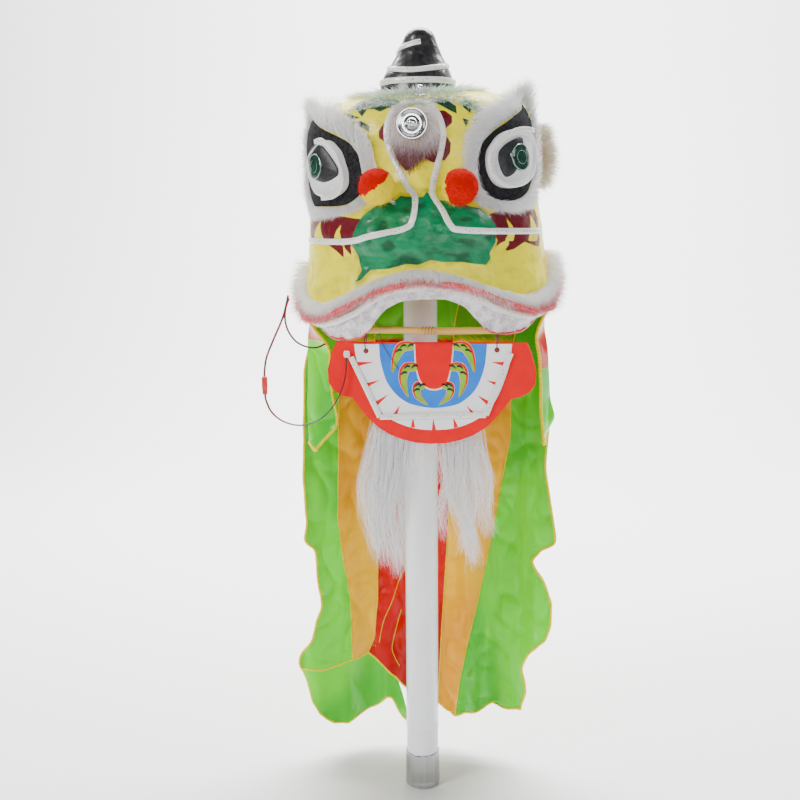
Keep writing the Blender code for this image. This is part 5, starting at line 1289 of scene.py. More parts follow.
def make_forehead(s, finishes):
    spots = [on_skin(p, 0.0004) for p in flat_curve(FACE_STRIP, 300)]
    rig.replaces(strip_piece("face_strip", spots, finishes), "face_light_strip")
    coat = Coat(31)
    while len(coat.hairs) < s.tuft_hairs:
        pixel = coat.draw.uniform(np.min(TUFT_OUTLINE, axis=0), np.max(TUFT_OUTLINE, axis=0))
        if inside_by(pixel[None, :], TUFT_OUTLINE)[0] < 0:
            continue
        root, normal = on_skin(pixel)
        away = Vector((pixel[0] - MIRROR_PIXEL[0], 0, -(pixel[1] - MIRROR_PIXEL[1] + 4)))
        away = (away.normalized() * 0.5 + Vector((0, 0, -0.5))).normalized()
        coat.add(root, (away * 0.8 + normal * 0.45).normalized(), coat.draw.uniform(0.009, 0.017),
                 smooth((pixel[1] - 124) / 34))
    coat.grow("forehead_hair", "forehead_tuft", finishes.tuft, "maroon_fur", 5, 0.15, 0.00055, 0.5,
              -AHEAD, (0.45, 1.3))

    low_corner, high_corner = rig.box("mirror_dish")
    spot, normal = drop(EYE_POINT, sight(MIRROR_PIXEL))
    seat = spot + normal * 0.0052
    radius = (high_corner.z - low_corner.z) / 2
    profile = [(0, 0.0016), (0.3, 0.0016), (0.42, 0.0018), (0.5, 0.003), (0.56, 0.0034),
               (0.62, 0.003), (0.7, 0.0036), (0.84, 0.0048), (0.95, 0.0058), (1.0, 0.0056),
               (0.99, 0.0046), (0.84, 0.0034), (0.6, 0.0012), (0.4, 0.0), (0, 0.0)]
    dish = turned_piece("mirror", [(share * radius, height) for share, height in profile], 72,
                        finishes.chrome, "chrome", standing(seat, normal), 50)
    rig.replaces(dish, "mirror_dish")
    ball_radius = 0.0068
    arc = [(ball_radius * sin(pi * k / 16), ball_radius * (1 - cos(pi * k / 16)))
           for k in range(17)]
    ball = turned_piece("mirror_stud", arc, 40, finishes.chrome, "chrome",
                        standing(seat + normal * 0.0017, normal), 80)
    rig.replaces(ball, "mirror_ball")

    spot, normal = on_skin(BELL_PIXEL, 0.0006)
    size = 0.0042
    profile = [(0, 3.3), (0.5, 3.2), (0.9, 2.8), (1.05, 2.2), (0.9, 1.6), (0.55, 1.2), (0.5, 0.7),
               (1.5, 0.55), (1.9, 0.35), (1.95, 0.05), (1.8, 0.0), (0, 0.0)]
    upright = (normal * 0.5 + Vector((0, 0, 1))).normalized()
    bell = turned_piece("top_bell", [(a * size, b * size) for a, b in profile], 40, finishes.chrome,
                        "chrome", standing(spot, upright), 50)
    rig.replaces(bell, "crown_bell")


def make_horn(s, finishes):
    box_low, box_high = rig.box("horn")
    middle = Vector(((box_low.x + box_high.x) / 2, (box_low.y + box_high.y) / 2, 0))
    foot, top = box_low.z - 0.002, box_high.z
    wide = (box_high.x - box_low.x) / 2
    rows = ((0.0, 1.03), (0.2, 1.0), (0.32, 0.92), (0.44, 0.79), (0.56, 0.66), (0.68, 0.56),
            (0.8, 0.46), (0.88, 0.4), (0.94, 0.31), (0.98, 0.17), (1.0, 0.0))
    lean = middle.y - 0.01

    def skin(degrees, share, out=0.0):
        turn = radians(degrees)
        reach = wide * rounded(rows, share, 1, 0.02 if share < 0.97 else 0.0)
        rough = noise.fractal(Vector((sin(turn) * 2, cos(turn) * 2, share * 5)), 0.9, 2, 3)
        reach = reach * (1 + 0.025 * rough) + out
        x = middle.x * (1 - share) + mixed(0.0, 0.004, share) + reach * sin(turn)
        y = mixed(middle.y + 0.004, lean, share ** 2) - reach * cos(turn)
        return Vector((x, y, mixed(foot, top, share)))

    horn = grid_piece("horn_body", 72, 60, lambda i, j: skin(360 * (i % 72) / 72, j / 60, 0.0),
                      finishes.horn, "black_felt")
    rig.replaces(horn, "horn")
    spiral = []
    for k in range(150):
        turn = mixed(-100, 368, k / 149)
        above = CROWN_Z + HORN_TALL * rounded(HORN_STRIP_ROWS, turn, 1, 14)
        spot = skin(turn, (above - foot) / (top - foot), 0.0006)
        out = (spot - Vector((middle.x, middle.y, spot.z))).normalized()
        spiral.append((spot, (out + Vector((0, 0, 0.35))).normalized()))
    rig.replaces(strip_piece("horn_strip", spiral, finishes, STRIP_WIDTH * 0.9), "horn_light_strip")
    base = []
    for k in range(121):
        spot = skin(3 * k, 0.205, 0.0008)
        out = (spot - Vector((middle.x, middle.y, spot.z))).normalized()
        base.append((spot, out))
    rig.replaces(strip_piece("horn_foot_strip", base, finishes), "horn_base_strip")

    coat = Coat(41)
    draw = coat.draw
    while len(coat.hairs) < s.collar_hairs:
        turn = draw.uniform(0, 2 * pi)
        wide_here = 0.036 * (0.72 + 0.28 * abs(sin(turn)))
        share = draw.random()
        reach = wide * 1.02 + wide_here * share
        spot = Vector((middle.x + reach * sin(turn), middle.y - reach * cos(turn), 1.3))
        hit, normal = drop(spot, Vector((0, 0, -1)))
        away = Vector((sin(turn), -cos(turn), -0.25))
        patch = smooth(noise.noise(hit * 55) * 1.6 + 0.4)
        coat.add(hit, (away * 0.8 + normal * 0.5).normalized(), draw.uniform(0.013, 0.026),
                 patch * draw.uniform(0.3, 1.0) * (1.0 if cos(turn) > -0.2 else 0.4))
    aim = Vector((middle.x, middle.y + 0.01, CROWN_Z))
    while len(coat.hairs) < s.collar_hairs * 1.5:
        pixel = draw.uniform(np.min(COLLAR_APRON, axis=0), np.max(COLLAR_APRON, axis=0))
        if inside_by(pixel[None, :], COLLAR_APRON)[0] < 0:
            continue
        root, normal, _, _ = Head.skin.ray_cast(EYE_POINT, sight(pixel + (0, 5)))
        if root is None:
            continue
        away = (root - aim).normalized() + Vector((draw.normal(0, 0.3), -0.2, 0.1))
        coat.add(root, (away.normalized() * 0.85 + normal * 0.4).normalized(),
                 draw.uniform(0.008, 0.018),
                 smooth(noise.noise(root * 60) * 1.8 + 0.35) * draw.uniform(0.4, 1.0))
    coat.grow("horn_collar_hair", "horn_fur_collar", finishes.collar, "white_fur", 6, 0.22, 0.0006, 1,
              (0, -0.6, 0.6), most=0.8)


def make_pompoms(s, finishes):
    for hand, side_up in (("left", Vector((-0.55, -0.25, 0.75))), ("right", Vector((0.75, -0.45, 0.1)))):
        low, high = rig.box("pompom_" + hand)
        middle, radius = (low + high) / 2, (high.x - low.x) / 2
        built = bmesh.new()
        bmesh.ops.create_icosphere(built, subdivisions=5, radius=radius * 0.96)
        red_way = side_up.normalized()
        directions = []
        for vert in built.verts:
            way = vert.co.normalized()
            rough = noise.fractal(way * 7, 0.8, 2.0, 4)
            directions.append(way)
            vert.co = middle + way * (radius * 0.955 + 0.0013 * rough)
        ball = finished("wool_ball_" + hand, built, finishes.wool, "wool", 180)
        edge = -0.15 if hand == "left" else -0.35

        def yellow_share(way):
            ragged = 0.16 * noise.noise(Vector(way) * 5)
            return 1.0 if Vector(way).dot(red_way) < edge + ragged + (0.3 if hand == "left" else 0) else 0.0
        value_on(ball, "tint", [yellow_share(way) for way in directions])
        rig.replaces(ball, "pompom_" + hand)
        draw = np.random.default_rng(51)
        ways = draw.normal(0, 1, (s.wool_hairs, 3))
        ways /= np.linalg.norm(ways, axis=1, keepdims=True)
        roots = np.array(middle) + ways * radius * 0.94
        paths = combed(roots, ways, draw.uniform(0.0015, 0.0032, len(ways)), 4, 0.0, 52, 0.7)
        facing = draw.normal(0, 1, ways.shape)
        tint = np.array([yellow_share(way) for way in ways])[:, None] * np.ones(4)
        ribbons("wool_fuzz_" + hand, paths, 0.00022, finishes.wool, "wool", facing, tint, 53)
        low_pin, high_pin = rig.box("pompom_pin_" + hand)
        near = Vector(((low_pin.x + high_pin.x) / 2, high_pin.y, (low_pin.z + high_pin.z) / 2))
        foot = Head.skin.find_nearest(near)[0]
        reach = middle - foot
        count = 110
        side = reach.normalized().orthogonal()
        other = reach.normalized().cross(side)
        coil = [foot + reach * mixed(-0.02, 0.62, k / (count - 1))
                + (side * cos(k * 0.62) + other * sin(k * 0.62)) * 0.0017
                for k in range(count)]
        spring = tube_piece("pompom_spring_" + hand, coil, 0.00045, finishes.chrome, "chrome", 6)
        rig.replaces(spring, "pompom_pin_" + hand)


def make_ears(s, finishes):
    for side, hand, count in ((-1, "left", 3200), (1, "right", 6500)):
        low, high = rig.box("ear_" + hand)
        middle, half = (low + high) / 2, (high - low) / 2
        coat = Coat(61)
        draw = coat.draw
        for _ in range(count):
            up, reach = draw.uniform(-1, 1), draw.random()
            full = sqrt(max(0.0, 1 - up * up))
            x = mixed(low.x if side > 0 else high.x, mixed(low.x, high.x, 0.5 + side * 0.5 * full), reach)
            across = draw.uniform(-1.0, 0.7)
            front = across < 0
            y = middle.y + across * 0.9 * half.y * (1 - 0.5 * reach)
            root = Vector((x, y, middle.z + up * half.z * 0.95))
            way = Vector((side * 0.75, -0.35 if front else 0.5, up * 0.45 + 0.05)).normalized()
            coat.add(root, way, draw.uniform(0.008, 0.016) * (0.7 + 0.5 * reach),
                     smooth(1.3 - abs(reach - 0.4) * 3) * (0.75 if front else 0.1)
                     * smooth(1.4 - abs(up) * 1.6))
        coat.grow("ear_hair_" + hand, "ear_" + hand, finishes.ear, "ear_fur", 5, 0.2, 0.00065, 1,
                  (0, -0.8, 0), (1, 0.35))


def gum_point(degrees, share, out):
    start = skull_point(degrees, 0.99, WALL + 0.003)
    top = rim_height(degrees) + 0.004
    low = RIM_Z + HEAD_HEIGHT * rounded(GUM_ROWS, abs(degrees), 1, 1.5)
    scale = 1 - 0.07 * share * share + out / Vector((start.x, start.y)).length
    return to_world((start.x * scale, start.y * scale, mixed(top, low, share)))


def make_gum(s, finishes):
    columns, rows, span = 260, 26, 76.5

    def place(i, j):
        degrees = mixed(-span, span, (i % (columns + 1)) / columns)
        front = j <= rows
        share = j / rows if front else (2 * rows + 2 - j) / rows
        share = min(max(share, 0.0), 1.0)
        spot = gum_point(degrees, share, 0.0013 if front else -0.0013)
        rough = noise.fractal(Vector((degrees * 0.16, share * 3.2, 1.0 if front else 5.0)), 0.8, 2.1, 4)
        ridge = noise.noise(Vector((degrees * 0.42, share * 1.3, 3.0)))
        out = Vector((spot.x, spot.y, 0)).normalized()
        held = smooth(share * 5)
        return spot + out * (0.0032 * rough + 0.0022 * ridge) * held
    gum = grid_piece("wrinkled_gum", columns, 2 * rows + 2, place, finishes.gum, "gum_paper")
    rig.replaces(gum, "gum_band")
    spots = []
    for k in range(220):
        degrees = mixed(-73, 73, k / 219)
        spot = gum_point(degrees, 0.36, 0.0042)
        out = (gum_point(degrees, 0.36, 0.02) - gum_point(degrees, 0.36, 0.0)).normalized()
        spots.append((spot, (out + Vector((0, 0, -0.15))).normalized()))
    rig.replaces(strip_piece("lip_strip", spots, finishes), "lip_light_strip")
    for side, hand in ((-1, "left"), (1, "right")):
        path = [gum_point(side * degrees, 1.0, 0.0016) for degrees in np.linspace(26, 74, 50)]
        tube_piece("gum_red_edge_" + hand, path, lambda share: 0.001 + 0.0014 * sin(pi * share),
                   finishes.gum_edge, "gum_paper", 8)


def make_lip(s, finishes):
    coat = Coat(71)
    draw = coat.draw
    while len(coat.hairs) < s.lip_hairs:
        degrees = draw.uniform(-92, 92)
        step = draw.uniform(-1, 1)
        middle = rim_height(degrees) + HEAD_HEIGHT * ramp(LIP_ROWS, abs(degrees), 1)
        z = middle + HEAD_HEIGHT * ramp(LIP_ROWS, abs(degrees), 2) * step
        turn = radians(degrees)
        out = turned_way((sin(turn), -cos(turn), 0))
        hit, _, _, far = Head.skin.ray_cast(to_world((0, 0, z)) + out * 0.4, -out)
        if hit is None or far > 0.36:
            continue
        sidelong = Vector((cos(turn), sin(turn), 0)) * draw.normal(0, 0.25)
        flare = smooth((abs(degrees) - 66) / 20)
        fall = mixed(-0.75, 0.25, flare)
        way = (out * (0.55 + 0.3 * flare) + Vector((0, 0, fall * (1 - 0.6 * (step > 0.3)))) + sidelong)
        coat.add(hit, way.normalized(), draw.uniform(0.008, 0.015) * (1 + 0.9 * flare),
                 smooth((0.05 - step) / 0.3) * (1 - 0.4 * flare))
    coat.grow("lip_hair", "lip_fur", finishes.lip, "white_fur", 5, 0.12, 0.00058, 0.6, -AHEAD, (1, 0.7))
    for number, (low_deg, high_deg) in enumerate(((-74, -6), (6, 74))):
        path = []
        for k in range(80):
            degrees = mixed(low_deg, high_deg, k / 79)
            spot = to_world(skull_point(degrees, 0.995))
            out = turned_way((sin(radians(degrees)), -cos(radians(degrees)), 0))
            path.append(spot + out * 0.003 + Vector((0, 0, -0.002)))
        tube_piece("lip_red_line_%d" % number, path,
                   lambda share: 0.0012 + 0.0026 * abs(sin(pi * (share * 2.3 + 0.2))),
                   finishes.gum_edge, "gum_paper", 8)


# Pieces of the mouth
def make_rod(s, finishes):
    low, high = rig.box("mouth_rod")
    middle = (low + high) / 2
    radius = (high.z - low.z) / 2 * 0.98
    path = [Vector((mixed(low.x, high.x, k / 90), middle.y,
                    middle.z + 0.0006 * sin(k * 0.09))) for k in range(91)]

    def thick(share):
        knot = sum(exp(-((share - at) / 0.006) ** 2) for at in (0.19, 0.52, 0.86))
        return radius * (0.95 + 0.05 * min(knot, 1.0) + 0.01 * sin(share * 60))
    rod = tube_piece("bamboo_rod", path, thick, finishes.bamboo, "bamboo", 20)
    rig.replaces(rod, "mouth_rod")
    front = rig.box("jaw_board")[0].y
    for hand in ("left", "right"):
        low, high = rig.box("tie_string_" + hand)
        x = (low.x + high.x) / 2
        hole_z = low.z + 0.0008
        points = [Vector((x, middle.y + 0.001, hole_z))]
        points += [Vector((x, front - 0.0012, hole_z + 0.0008)), Vector((x - 0.0006, front - 0.001, 0.716))]
        for k in range(11):
            turn = radians(-15 + 200 * k / 10)
            points.append(Vector((x + 0.0012 * k / 10, middle.y - (radius + 0.001) * cos(turn),
                                  middle.z + (radius + 0.001) * sin(turn))))
        points += [Vector((x + 0.001, middle.y + 0.0032, 0.716)), Vector((x, middle.y + 0.003, hole_z))]
        path = flowing([tuple(point) for point in points], 90)
        string = tube_piece("tie_thread_" + hand, path, 0.0007, finishes.string, "string", 6)
        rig.replaces(string, "tie_string_" + hand)
        knot = [Vector((x + 0.0017 * cos(k * 0.7), middle.y - 0.0058 + 0.0006 * sin(k * 1.3),
                        0.7255 + 0.0017 * sin(k * 0.7))) for k in range(19)]
        tube_piece("tie_knot_" + hand, knot, 0.00055, finishes.string, "string", 6)
    thread = [on_plane(pixel, front - 0.0016) for pixel in
              ((379, 331), (382, 343), (387, 352), (393, 361), (399, 370))]
    path = flowing([tuple(point) for point in thread], 40)
    thread = tube_piece("loose_thread", path, 0.0005, finishes.string, "string", 6)
    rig.cord(thread, exit=tuple(path[0]), length=travelled(path)[-1], diameter=0.001, far_end="bare",
            stiffness="limp",
            lay="hanging", path=[tuple(point) for point in path])
    wrap = [Vector((middle.x - 0.012 + k * 0.0003,
                    middle.y - (radius + 0.0006) * cos(k * 0.42),
                    middle.z + (radius + 0.0006) * sin(k * 0.42))) for k in range(61)]
    tube_piece("rod_thread", wrap, 0.00035, finishes.string, "string", 5)


def inlays(name, outlines, layer, finish, front):
    """Flat printed shapes on the board's front, and painted shade, each a closed film of its own."""
    built = bmesh.new()
    for outline in outlines:
        ring = bmesh.ops.create_circle(built, cap_ends=True, segments=len(outline), radius=1.0)["verts"]
        for vert, pixel in zip(ring, outline):
            vert.co = on_plane(pixel, front - 0.00022 * layer)
        face = ring[0].link_faces[0]
        grown = bmesh.ops.extrude_face_region(built, geom=[face])
        moved = [item for item in grown["geom"] if isinstance(item, bmesh.types.BMVert)]
        bmesh.ops.translate(built, verts=moved, vec=(0, -0.0002, 0))
    bmesh.ops.recalc_face_normals(built, faces=built.faces)
    bmesh.ops.triangulate(built, faces=built.faces)
    return finished(name, built, finish, "jaw_card", 30)


def leaf_outline(line, width):
    """Outline of a leaf along a curve, blunt at its root and pointed at its tip."""
    path = flowing([(x, y, 0) for x, y in line], 18)
    left, right = [], []
    for k, point in enumerate(path):
        share = k / (len(path) - 1)
        along = (path[min(k + 1, 17)] - path[max(k - 1, 0)]).normalized()
        side = Vector((-along.y, along.x, 0))
        full = (sin(pi * min(1.0, 0.22 + share * 0.78)) ** 0.8)
        left.append((point + side * width * 0.5 * full).xy)
        right.append((point - side * width * 0.5 * full).xy)
    return [tuple(point) for point in left + right[::-1]]


def mirrored(outline):
    return [(2 * JAW_MIDDLE_PIXEL - x, y) for x, y in outline]


def make_board(s, finishes):
    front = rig.box("jaw_board")[0].y
    board = frame["nodes"]["jaw_board"]
    board.data.materials.clear()
    board.data.materials.append(finishes.red_card)
    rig.slot(board, "jaw_card")
    inlays("teeth_print", [flat_curve(TEETH, 60)], 1, finishes.white_card, front)
    gaps = []
    for (x, y), (far_x, far_y) in TOOTH_GAPS:
        along = Vector((far_x - x, far_y - y)).normalized()
        side = Vector((-along.y, along.x)) * 2.2
        back = Vector((x, y)) - along * 0.5
        gaps.append([tuple(back + side), tuple(back - side), (far_x, far_y)])
    inlays("tooth_gap_print", gaps, 2, finishes.red_card, front)
    inlays("blue_print", [flat_curve(BLUE_FIELD, 60)], 2, finishes.blue_card, front)
    rims, reds, greens, strokes = [], [], [], []
    for line, width in SWIRLS:
        for outline_line in (line, tuple(mirrored(line))):
            rims.append(leaf_outline(outline_line, width + 1.8))
            reds.append(leaf_outline(outline_line, width + 1.0))
            shifted = [(x + (0.8 if outline_line is line else -0.8), y + 0.8) for x, y in outline_line]
            greens.append(leaf_outline(shifted, width * 0.8))
            for step in range(3):
                share = 0.12 + 0.2 * step
                spot = flat_curve(outline_line, 21)[int(share * 20)]
                toward = 1 if outline_line is line else -1
                stroke = ((spot.x + 3.4 * toward, spot.y - 1.0), (spot.x, spot.y - 1.2),
                          (spot.x - 3.4 * toward, spot.y + 1.8))
                strokes.append(leaf_outline(stroke, 2.3))
    inlays("swirl_rim_print", rims, 3, finishes.cream_card, front)
    inlays("swirl_red_print", reds, 4, finishes.red_card, front)
    inlays("swirl_green_print", greens, 5, finishes.green_card, front)
    inlays("swirl_stroke_print", strokes, 6, finishes.black_card, front)
    tongue = flat_curve(TONGUE, 40)
    grown = [(x + (-1.4 if x < JAW_MIDDLE_PIXEL else 1.4) * (1 if y < 380 else 0.7),
              y + (1.6 if y > 375 else 0)) for x, y in tongue]
    inlays("tongue_line_print", [grown], 4, finishes.cream_card, front)
    inlays("tongue_print", [tongue], 6, finishes.red_card, front)
    # Painted shade: dark discs over the string holes
    holes = [[(x + 2.6 * cos(2 * pi * k / 20), y + 2.6 * sin(2 * pi * k / 20))
              for k in range(20)] for x, y in JAW_HOLES]
    inlays("hole_shade", holes, 3, finishes.string, front)
    for number, (a, b) in enumerate(zip(JAW_STRIP, JAW_STRIP[1:])):
        spots = [(on_plane((mixed(a[0], b[0], k / 30), mixed(a[1], b[1], k / 30)), front - 0.0016
                           - 0.0003 * number), Vector((0, -1, 0))) for k in range(31)]
        strip = strip_piece("jaw_strip_%d" % number, spots, finishes, STRIP_WIDTH * 0.96)
        if number == 1:
            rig.replaces(strip, "jaw_light_strip")
    low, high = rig.box("jaw_wire_patch")
    built = bmesh.new()
    bmesh.ops.create_icosphere(built, subdivisions=4, radius=0.5)
    for vert in built.verts:
        way = vert.co.normalized()
        boxy = Vector([copysign(abs(c) ** 0.6, c) for c in way]) * 0.5
        size = high - low
        lump = 1 + 0.1 * noise.noise(way * 3)
        vert.co = (low + high) / 2 + Vector((boxy.x * size.x, boxy.y * size.y, boxy.z * size.z)) * lump
    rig.replaces(finished("solder_glue", built, finishes.clear, "clear_cover", 180), "jaw_wire_patch")


def make_beard(s, finishes):
    draw, paths, points = np.random.default_rng(81), [], 15
    for root_x, bend_x, tip_x, bend_z, tip_z, spread, count in LOCKS:
        wave, ripple = draw.uniform(0, 6.3), draw.uniform(5, 9)
        for _ in range(int(count * s.beard_fullness)):
            off = max(-1.7, min(1.7, draw.normal(0, 1)))
            deep = draw.normal(0, 0.004)
            end = draw.uniform(0.55, 1.06) if draw.random() < 0.4 else draw.uniform(0.88, 1.05)
            top_z = draw.uniform(0.585, 0.612)
            top = Vector((root_x + off * 0.011, -0.108 + deep * 0.6, top_z))
            knee = Vector((bend_x + off * spread, -0.103 + deep - 0.006 * abs(off), bend_z))
            tip = Vector((tip_x + off * spread * 0.55 + draw.normal(0, 0.003), -0.095 + deep,
                          mixed(top_z, tip_z, end)))
            phase, swing = draw.uniform(0, 6.3), draw.uniform(0.0008, 0.0095)
            turns = draw.uniform(5, 13)
            path = []
            for k in range(points):
                t = k / (points - 1)
                spot = top * (1 - t) ** 2 + knee * 2 * t * (1 - t) + tip * t * t
                spot += Vector((sin(phase + t * turns), cos(phase + t * 7) * 0.6, 0)) * swing * t
                spot.x += 0.0045 * sin(wave + t * ripple) * smooth(t * 2)
                path.append(spot)
            paths.append(path)
    facing = draw.normal(0, 0.7, (len(paths), 3)) + np.array((0, -1, 0))
    hair = ribbons("beard_strands", np.array([[tuple(p) for p in path] for path in paths]), 0.00042,
                   finishes.beard, "beard_hair", facing, None, 83, 0.7)
    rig.replaces(hair, "beard")


# Pieces of cloth
def inner_wall(degrees, row, inside):
    spot = skull_point(degrees, row)
    flat = Vector((spot.x, spot.y, 0))
    flat *= 1 - (WALL + inside) / flat.length
    return Vector((flat.x, flat.y, spot.z))


def tucked(degrees, inset=0.0022):
    """Where cloth is held against the wall just inside the skull's rim."""
    height = rim_height(degrees) + CAPE_TUCK
    low, high = 0.5, 1.0
    for _ in range(20):
        middle = (low + high) / 2
        if skull_point(degrees, middle).z > height:
            low = middle
        else:
            high = middle
    return to_world(inner_wall(degrees, low, CLOTH / 2 + inset))


def cape_x(u, z):
    for k in range(len(CAPE_SEAMS) - 1):
        if u <= CAPE_SEAMS[k + 1] or k == len(CAPE_SEAMS) - 2:
            share = (u - CAPE_SEAMS[k]) / (CAPE_SEAMS[k + 1] - CAPE_SEAMS[k])
            left, right = (rounded(CAPE_LINES[k + step][::-1], z, 1, 0.006) for step in (0, 1))
            return mixed(left, right, share)


def cape_depth(x, z):
    share = x / CAPE_HALF_WIDTH
    low = smooth((RIM_Z - z) / (RIM_Z - CAPE_HEM_Z) * 1.4)
    folds = sin(share * 11.0 + 0.8) + 0.5 * sin(share * 23.0 + z * 9.0)
    return CAPE_BACK_Y - CAPE_CURVE * share * share + CAPE_FOLD * low * folds


def creases(x, z, deep):
    """Small folds of the satin: long upright ones and slanting crumples."""
    tall = noise.noise(Vector((x * 30, z * 3.0, 1.7))) + 0.4 * noise.noise(Vector((x * 70, z * 6, 4.1)))
    slant = 1 - 2.2 * abs(noise.noise(Vector((x * 15 + z * 8, z * 12 - x * 7, 7.3))))
    cross = 1 - 2.2 * abs(noise.noise(Vector((x * 22 - z * 14, z * 20 + x * 9, 2.9))))
    return deep * (0.9 * tall + 0.8 * max(0.0, slant) ** 3 + 0.45 * max(0.0, cross) ** 3)


class Cloth:
    """Cape point by shares: each column's held place and hem are worked out once."""

    def __init__(self, folds):
        self.folds = folds
        self.held = {}

    def cape(self, u, t):
        key = round(u, 5)
        if key not in self.held:
            self.held[key] = tucked(180 - CAPE_WRAP * u), rounded(CAPE_HEM, u, 1, 0.02)
        held, hem = self.held[key]
        z = mixed(held.z, hem, t)
        x = cape_x(u, min(z, 0.745))
        share = smooth((t - 0.03) / 0.2)
        deep = self.folds * smooth((t - 0.05) / 0.25)
        y = cape_depth(x, z) + creases(x, z, deep)
        return Vector((mixed(held.x, x, share), mixed(held.y, y, share), z))


def cloth_piece(name, point, columns, rows, finish, slot, band):
    """Sheet on a function of two shares; gives back the piece, its own measured flat size and its area."""
    spots = [[point(i / columns, j / rows) for j in range(rows + 1)] for i in range(columns + 1)]
    made = grid_piece(name, columns, rows, lambda i, j: spots[i][j], finish, slot, None, 180)
    value_on(made, "topband", [band(vert.co) for vert in made.data.vertices])
    wall = made.modifiers.new("Thickness", "SOLIDIFY")
    wall.thickness = CLOTH
    wall.offset = 0
    area = sum(face.area for face in made.data.polygons)
    width = max(travelled(row)[-1] for row in zip(*spots))
    length = max(travelled(column)[-1] for column in spots)
    return made, (width, length), area


def braid(name, path, finish, slot, thick, apart=0.005):
    """Gold bead braid along a line of the cloth."""
    run = travelled(path)
    beads = max(4, int(run[-1] / apart))
    fine, k = [], 0
    for step in range(beads * 4 + 1):
        at = run[-1] * step / (beads * 4)
        while k < len(run) - 2 and run[k + 1] < at:
            k += 1
        fine.append(path[k].lerp(path[k + 1], (at - run[k]) / max(run[k + 1] - run[k], 1e-9)))

    def swell(share):
        return thick * (0.62 + 0.38 * sin(pi * share * beads) ** 2)
    return tube_piece(name, fine, swell, finish, slot, 7)


PANELS = (
    ("green_left", 0, "green"), ("orange_left", 1, "orange"), ("red", 2, "red"),
    ("orange_right", 3, "orange"), ("green_right", 4, "green"),
)


def make_cape(s, finishes):
    cloth = Cloth(s.folds)
    stitches = []
    for number, line in enumerate(STITCH_LINES):
        path = []
        for spot in flowing([tuple(on_plane(pixel, CAPE_BACK_Y)) for pixel in line], 60):
            y = cape_depth(spot.x, spot.z) + creases(spot.x, spot.z, s.folds) - 0.0016
            path.append(Vector((spot.x, y, spot.z)))
        stitches.append(braid("red_stitches_%d" % number, path, finishes.gold, "red_satin", 0.0007, 0.004))
    for name, k, colour in PANELS:
        low, high = CAPE_SEAMS[k], CAPE_SEAMS[k + 1]
        columns = max(16, round((high - low) * 90))
        finish, slot = getattr(finishes, colour), colour + "_satin"
        made, flat, area = cloth_piece("satin_" + name, lambda u, t: cloth.cape(mixed(low, high, u), t),
                                       columns, 150, finish, slot,
                                       lambda co: smooth((co.z - PANEL_TOP_Z) / 0.006) * (colour != "green"))
        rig.replaces(made, "cape_" + name)
        hem = [cloth.cape(mixed(low, high, i / 60), 1.0) for i in range(61)]
        trims = [braid("hem_braid_" + name, hem, finishes.gold, slot, 0.0021)]
        edges = [low] if k else [low + 0.001]
        if k == len(PANELS) - 1:
            edges.append(high - 0.001)
        for number, u in enumerate(edges):
            line = [cloth.cape(u, mixed(0.03, 1.0, j / 150)) + Vector((0, -0.0012, 0)) for j in range(151)]
            trims.append(braid("seam_braid_%s_%d" % (name, number), line, finishes.gold, slot,
                               0.0023 if abs(u) > 0.9 else 0.001))
        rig.sheet(made, flat, "hung", ["papier_mache_skull"], area,
                 trims + (stitches if name == "red" else []))

    def hem_flap(u, t):
        x = mixed(HEM_FLAP_ROWS[0][0], HEM_FLAP_ROWS[-1][0], u)
        top, bottom = rounded(HEM_FLAP_ROWS, x, 1, 0.003), rounded(HEM_FLAP_ROWS, x, 2, 0.003)
        z = mixed(top, bottom, t)
        step = 0.001
        slope_x = (cape_depth(x + step, z) - cape_depth(x - step, z)) / (2 * step)
        slope_z = (cape_depth(x, z + step) - cape_depth(x, z - step)) / (2 * step)
        rear = Vector((-slope_x, 1, -slope_z)).normalized()
        lift = 0.0028 + 0.005 * t + 0.4 * s.folds
        small = creases(x, z, s.folds * 0.6 * t)
        return Vector((x, cape_depth(x, z) + small, z)) + rear * lift
    made, flat, area = cloth_piece("satin_hem_behind", hem_flap, 70, 50, finishes.green, "green_satin",
                                   lambda co: 0.0)
    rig.replaces(made, "cape_hem_flap")
    hem = [hem_flap(i / 90, 1.0) for i in range(91)]
    trim = braid("hem_braid_behind", hem, finishes.gold, "green_satin", 0.0021)
    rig.sheet(made, flat, "hung", ["satin_green_left", "satin_orange_left"], area, [trim])

    for side, hand, start, rows in ((-1, "left", 76, LEFT_FLAP_ROWS), (1, "right", 78, RIGHT_FLAP_ROWS)):
        held = {}

        def flap(u, t):
            key = round(u, 5)
            if key not in held:
                held[key] = tucked(side * mixed(start + 16, start, u), 0.0012)
            root = held[key]
            z = root.z - FLAP_DROP * t
            x = mixed(rounded(rows, t, 1, 0.03), rounded(rows, t, 2, 0.03), u) * CAPE_HALF_WIDTH
            y = mixed(0.03, 0.004, u) + creases(x, z, s.folds * 0.7 * smooth((t - 0.1) / 0.3))
            share = smooth((t - 0.03) / 0.3)
            return Vector((mixed(root.x, x, share), mixed(root.y, y, share), z))
        made, flat, area = cloth_piece("satin_side_" + hand, flap, 36, 90, finishes.green, "green_satin",
                                       lambda co: smooth((co.z - FLAP_TOP_Z[hand]) / 0.004))
        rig.replaces(made, "side_flap_" + hand)
        hem = [flap(i / 40, 1.0) for i in range(41)]
        front = [flap(1.0, mixed(0.06, 1.0, j / 80)) for j in range(81)]
        trims = [braid("side_hem_braid_" + hand, hem, finishes.gold, "green_satin", 0.0031),
                 braid("side_edge_braid_" + hand, front, finishes.gold, "green_satin", 0.0029)]
        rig.sheet(made, flat, "hung", ["papier_mache_skull"], area, trims)


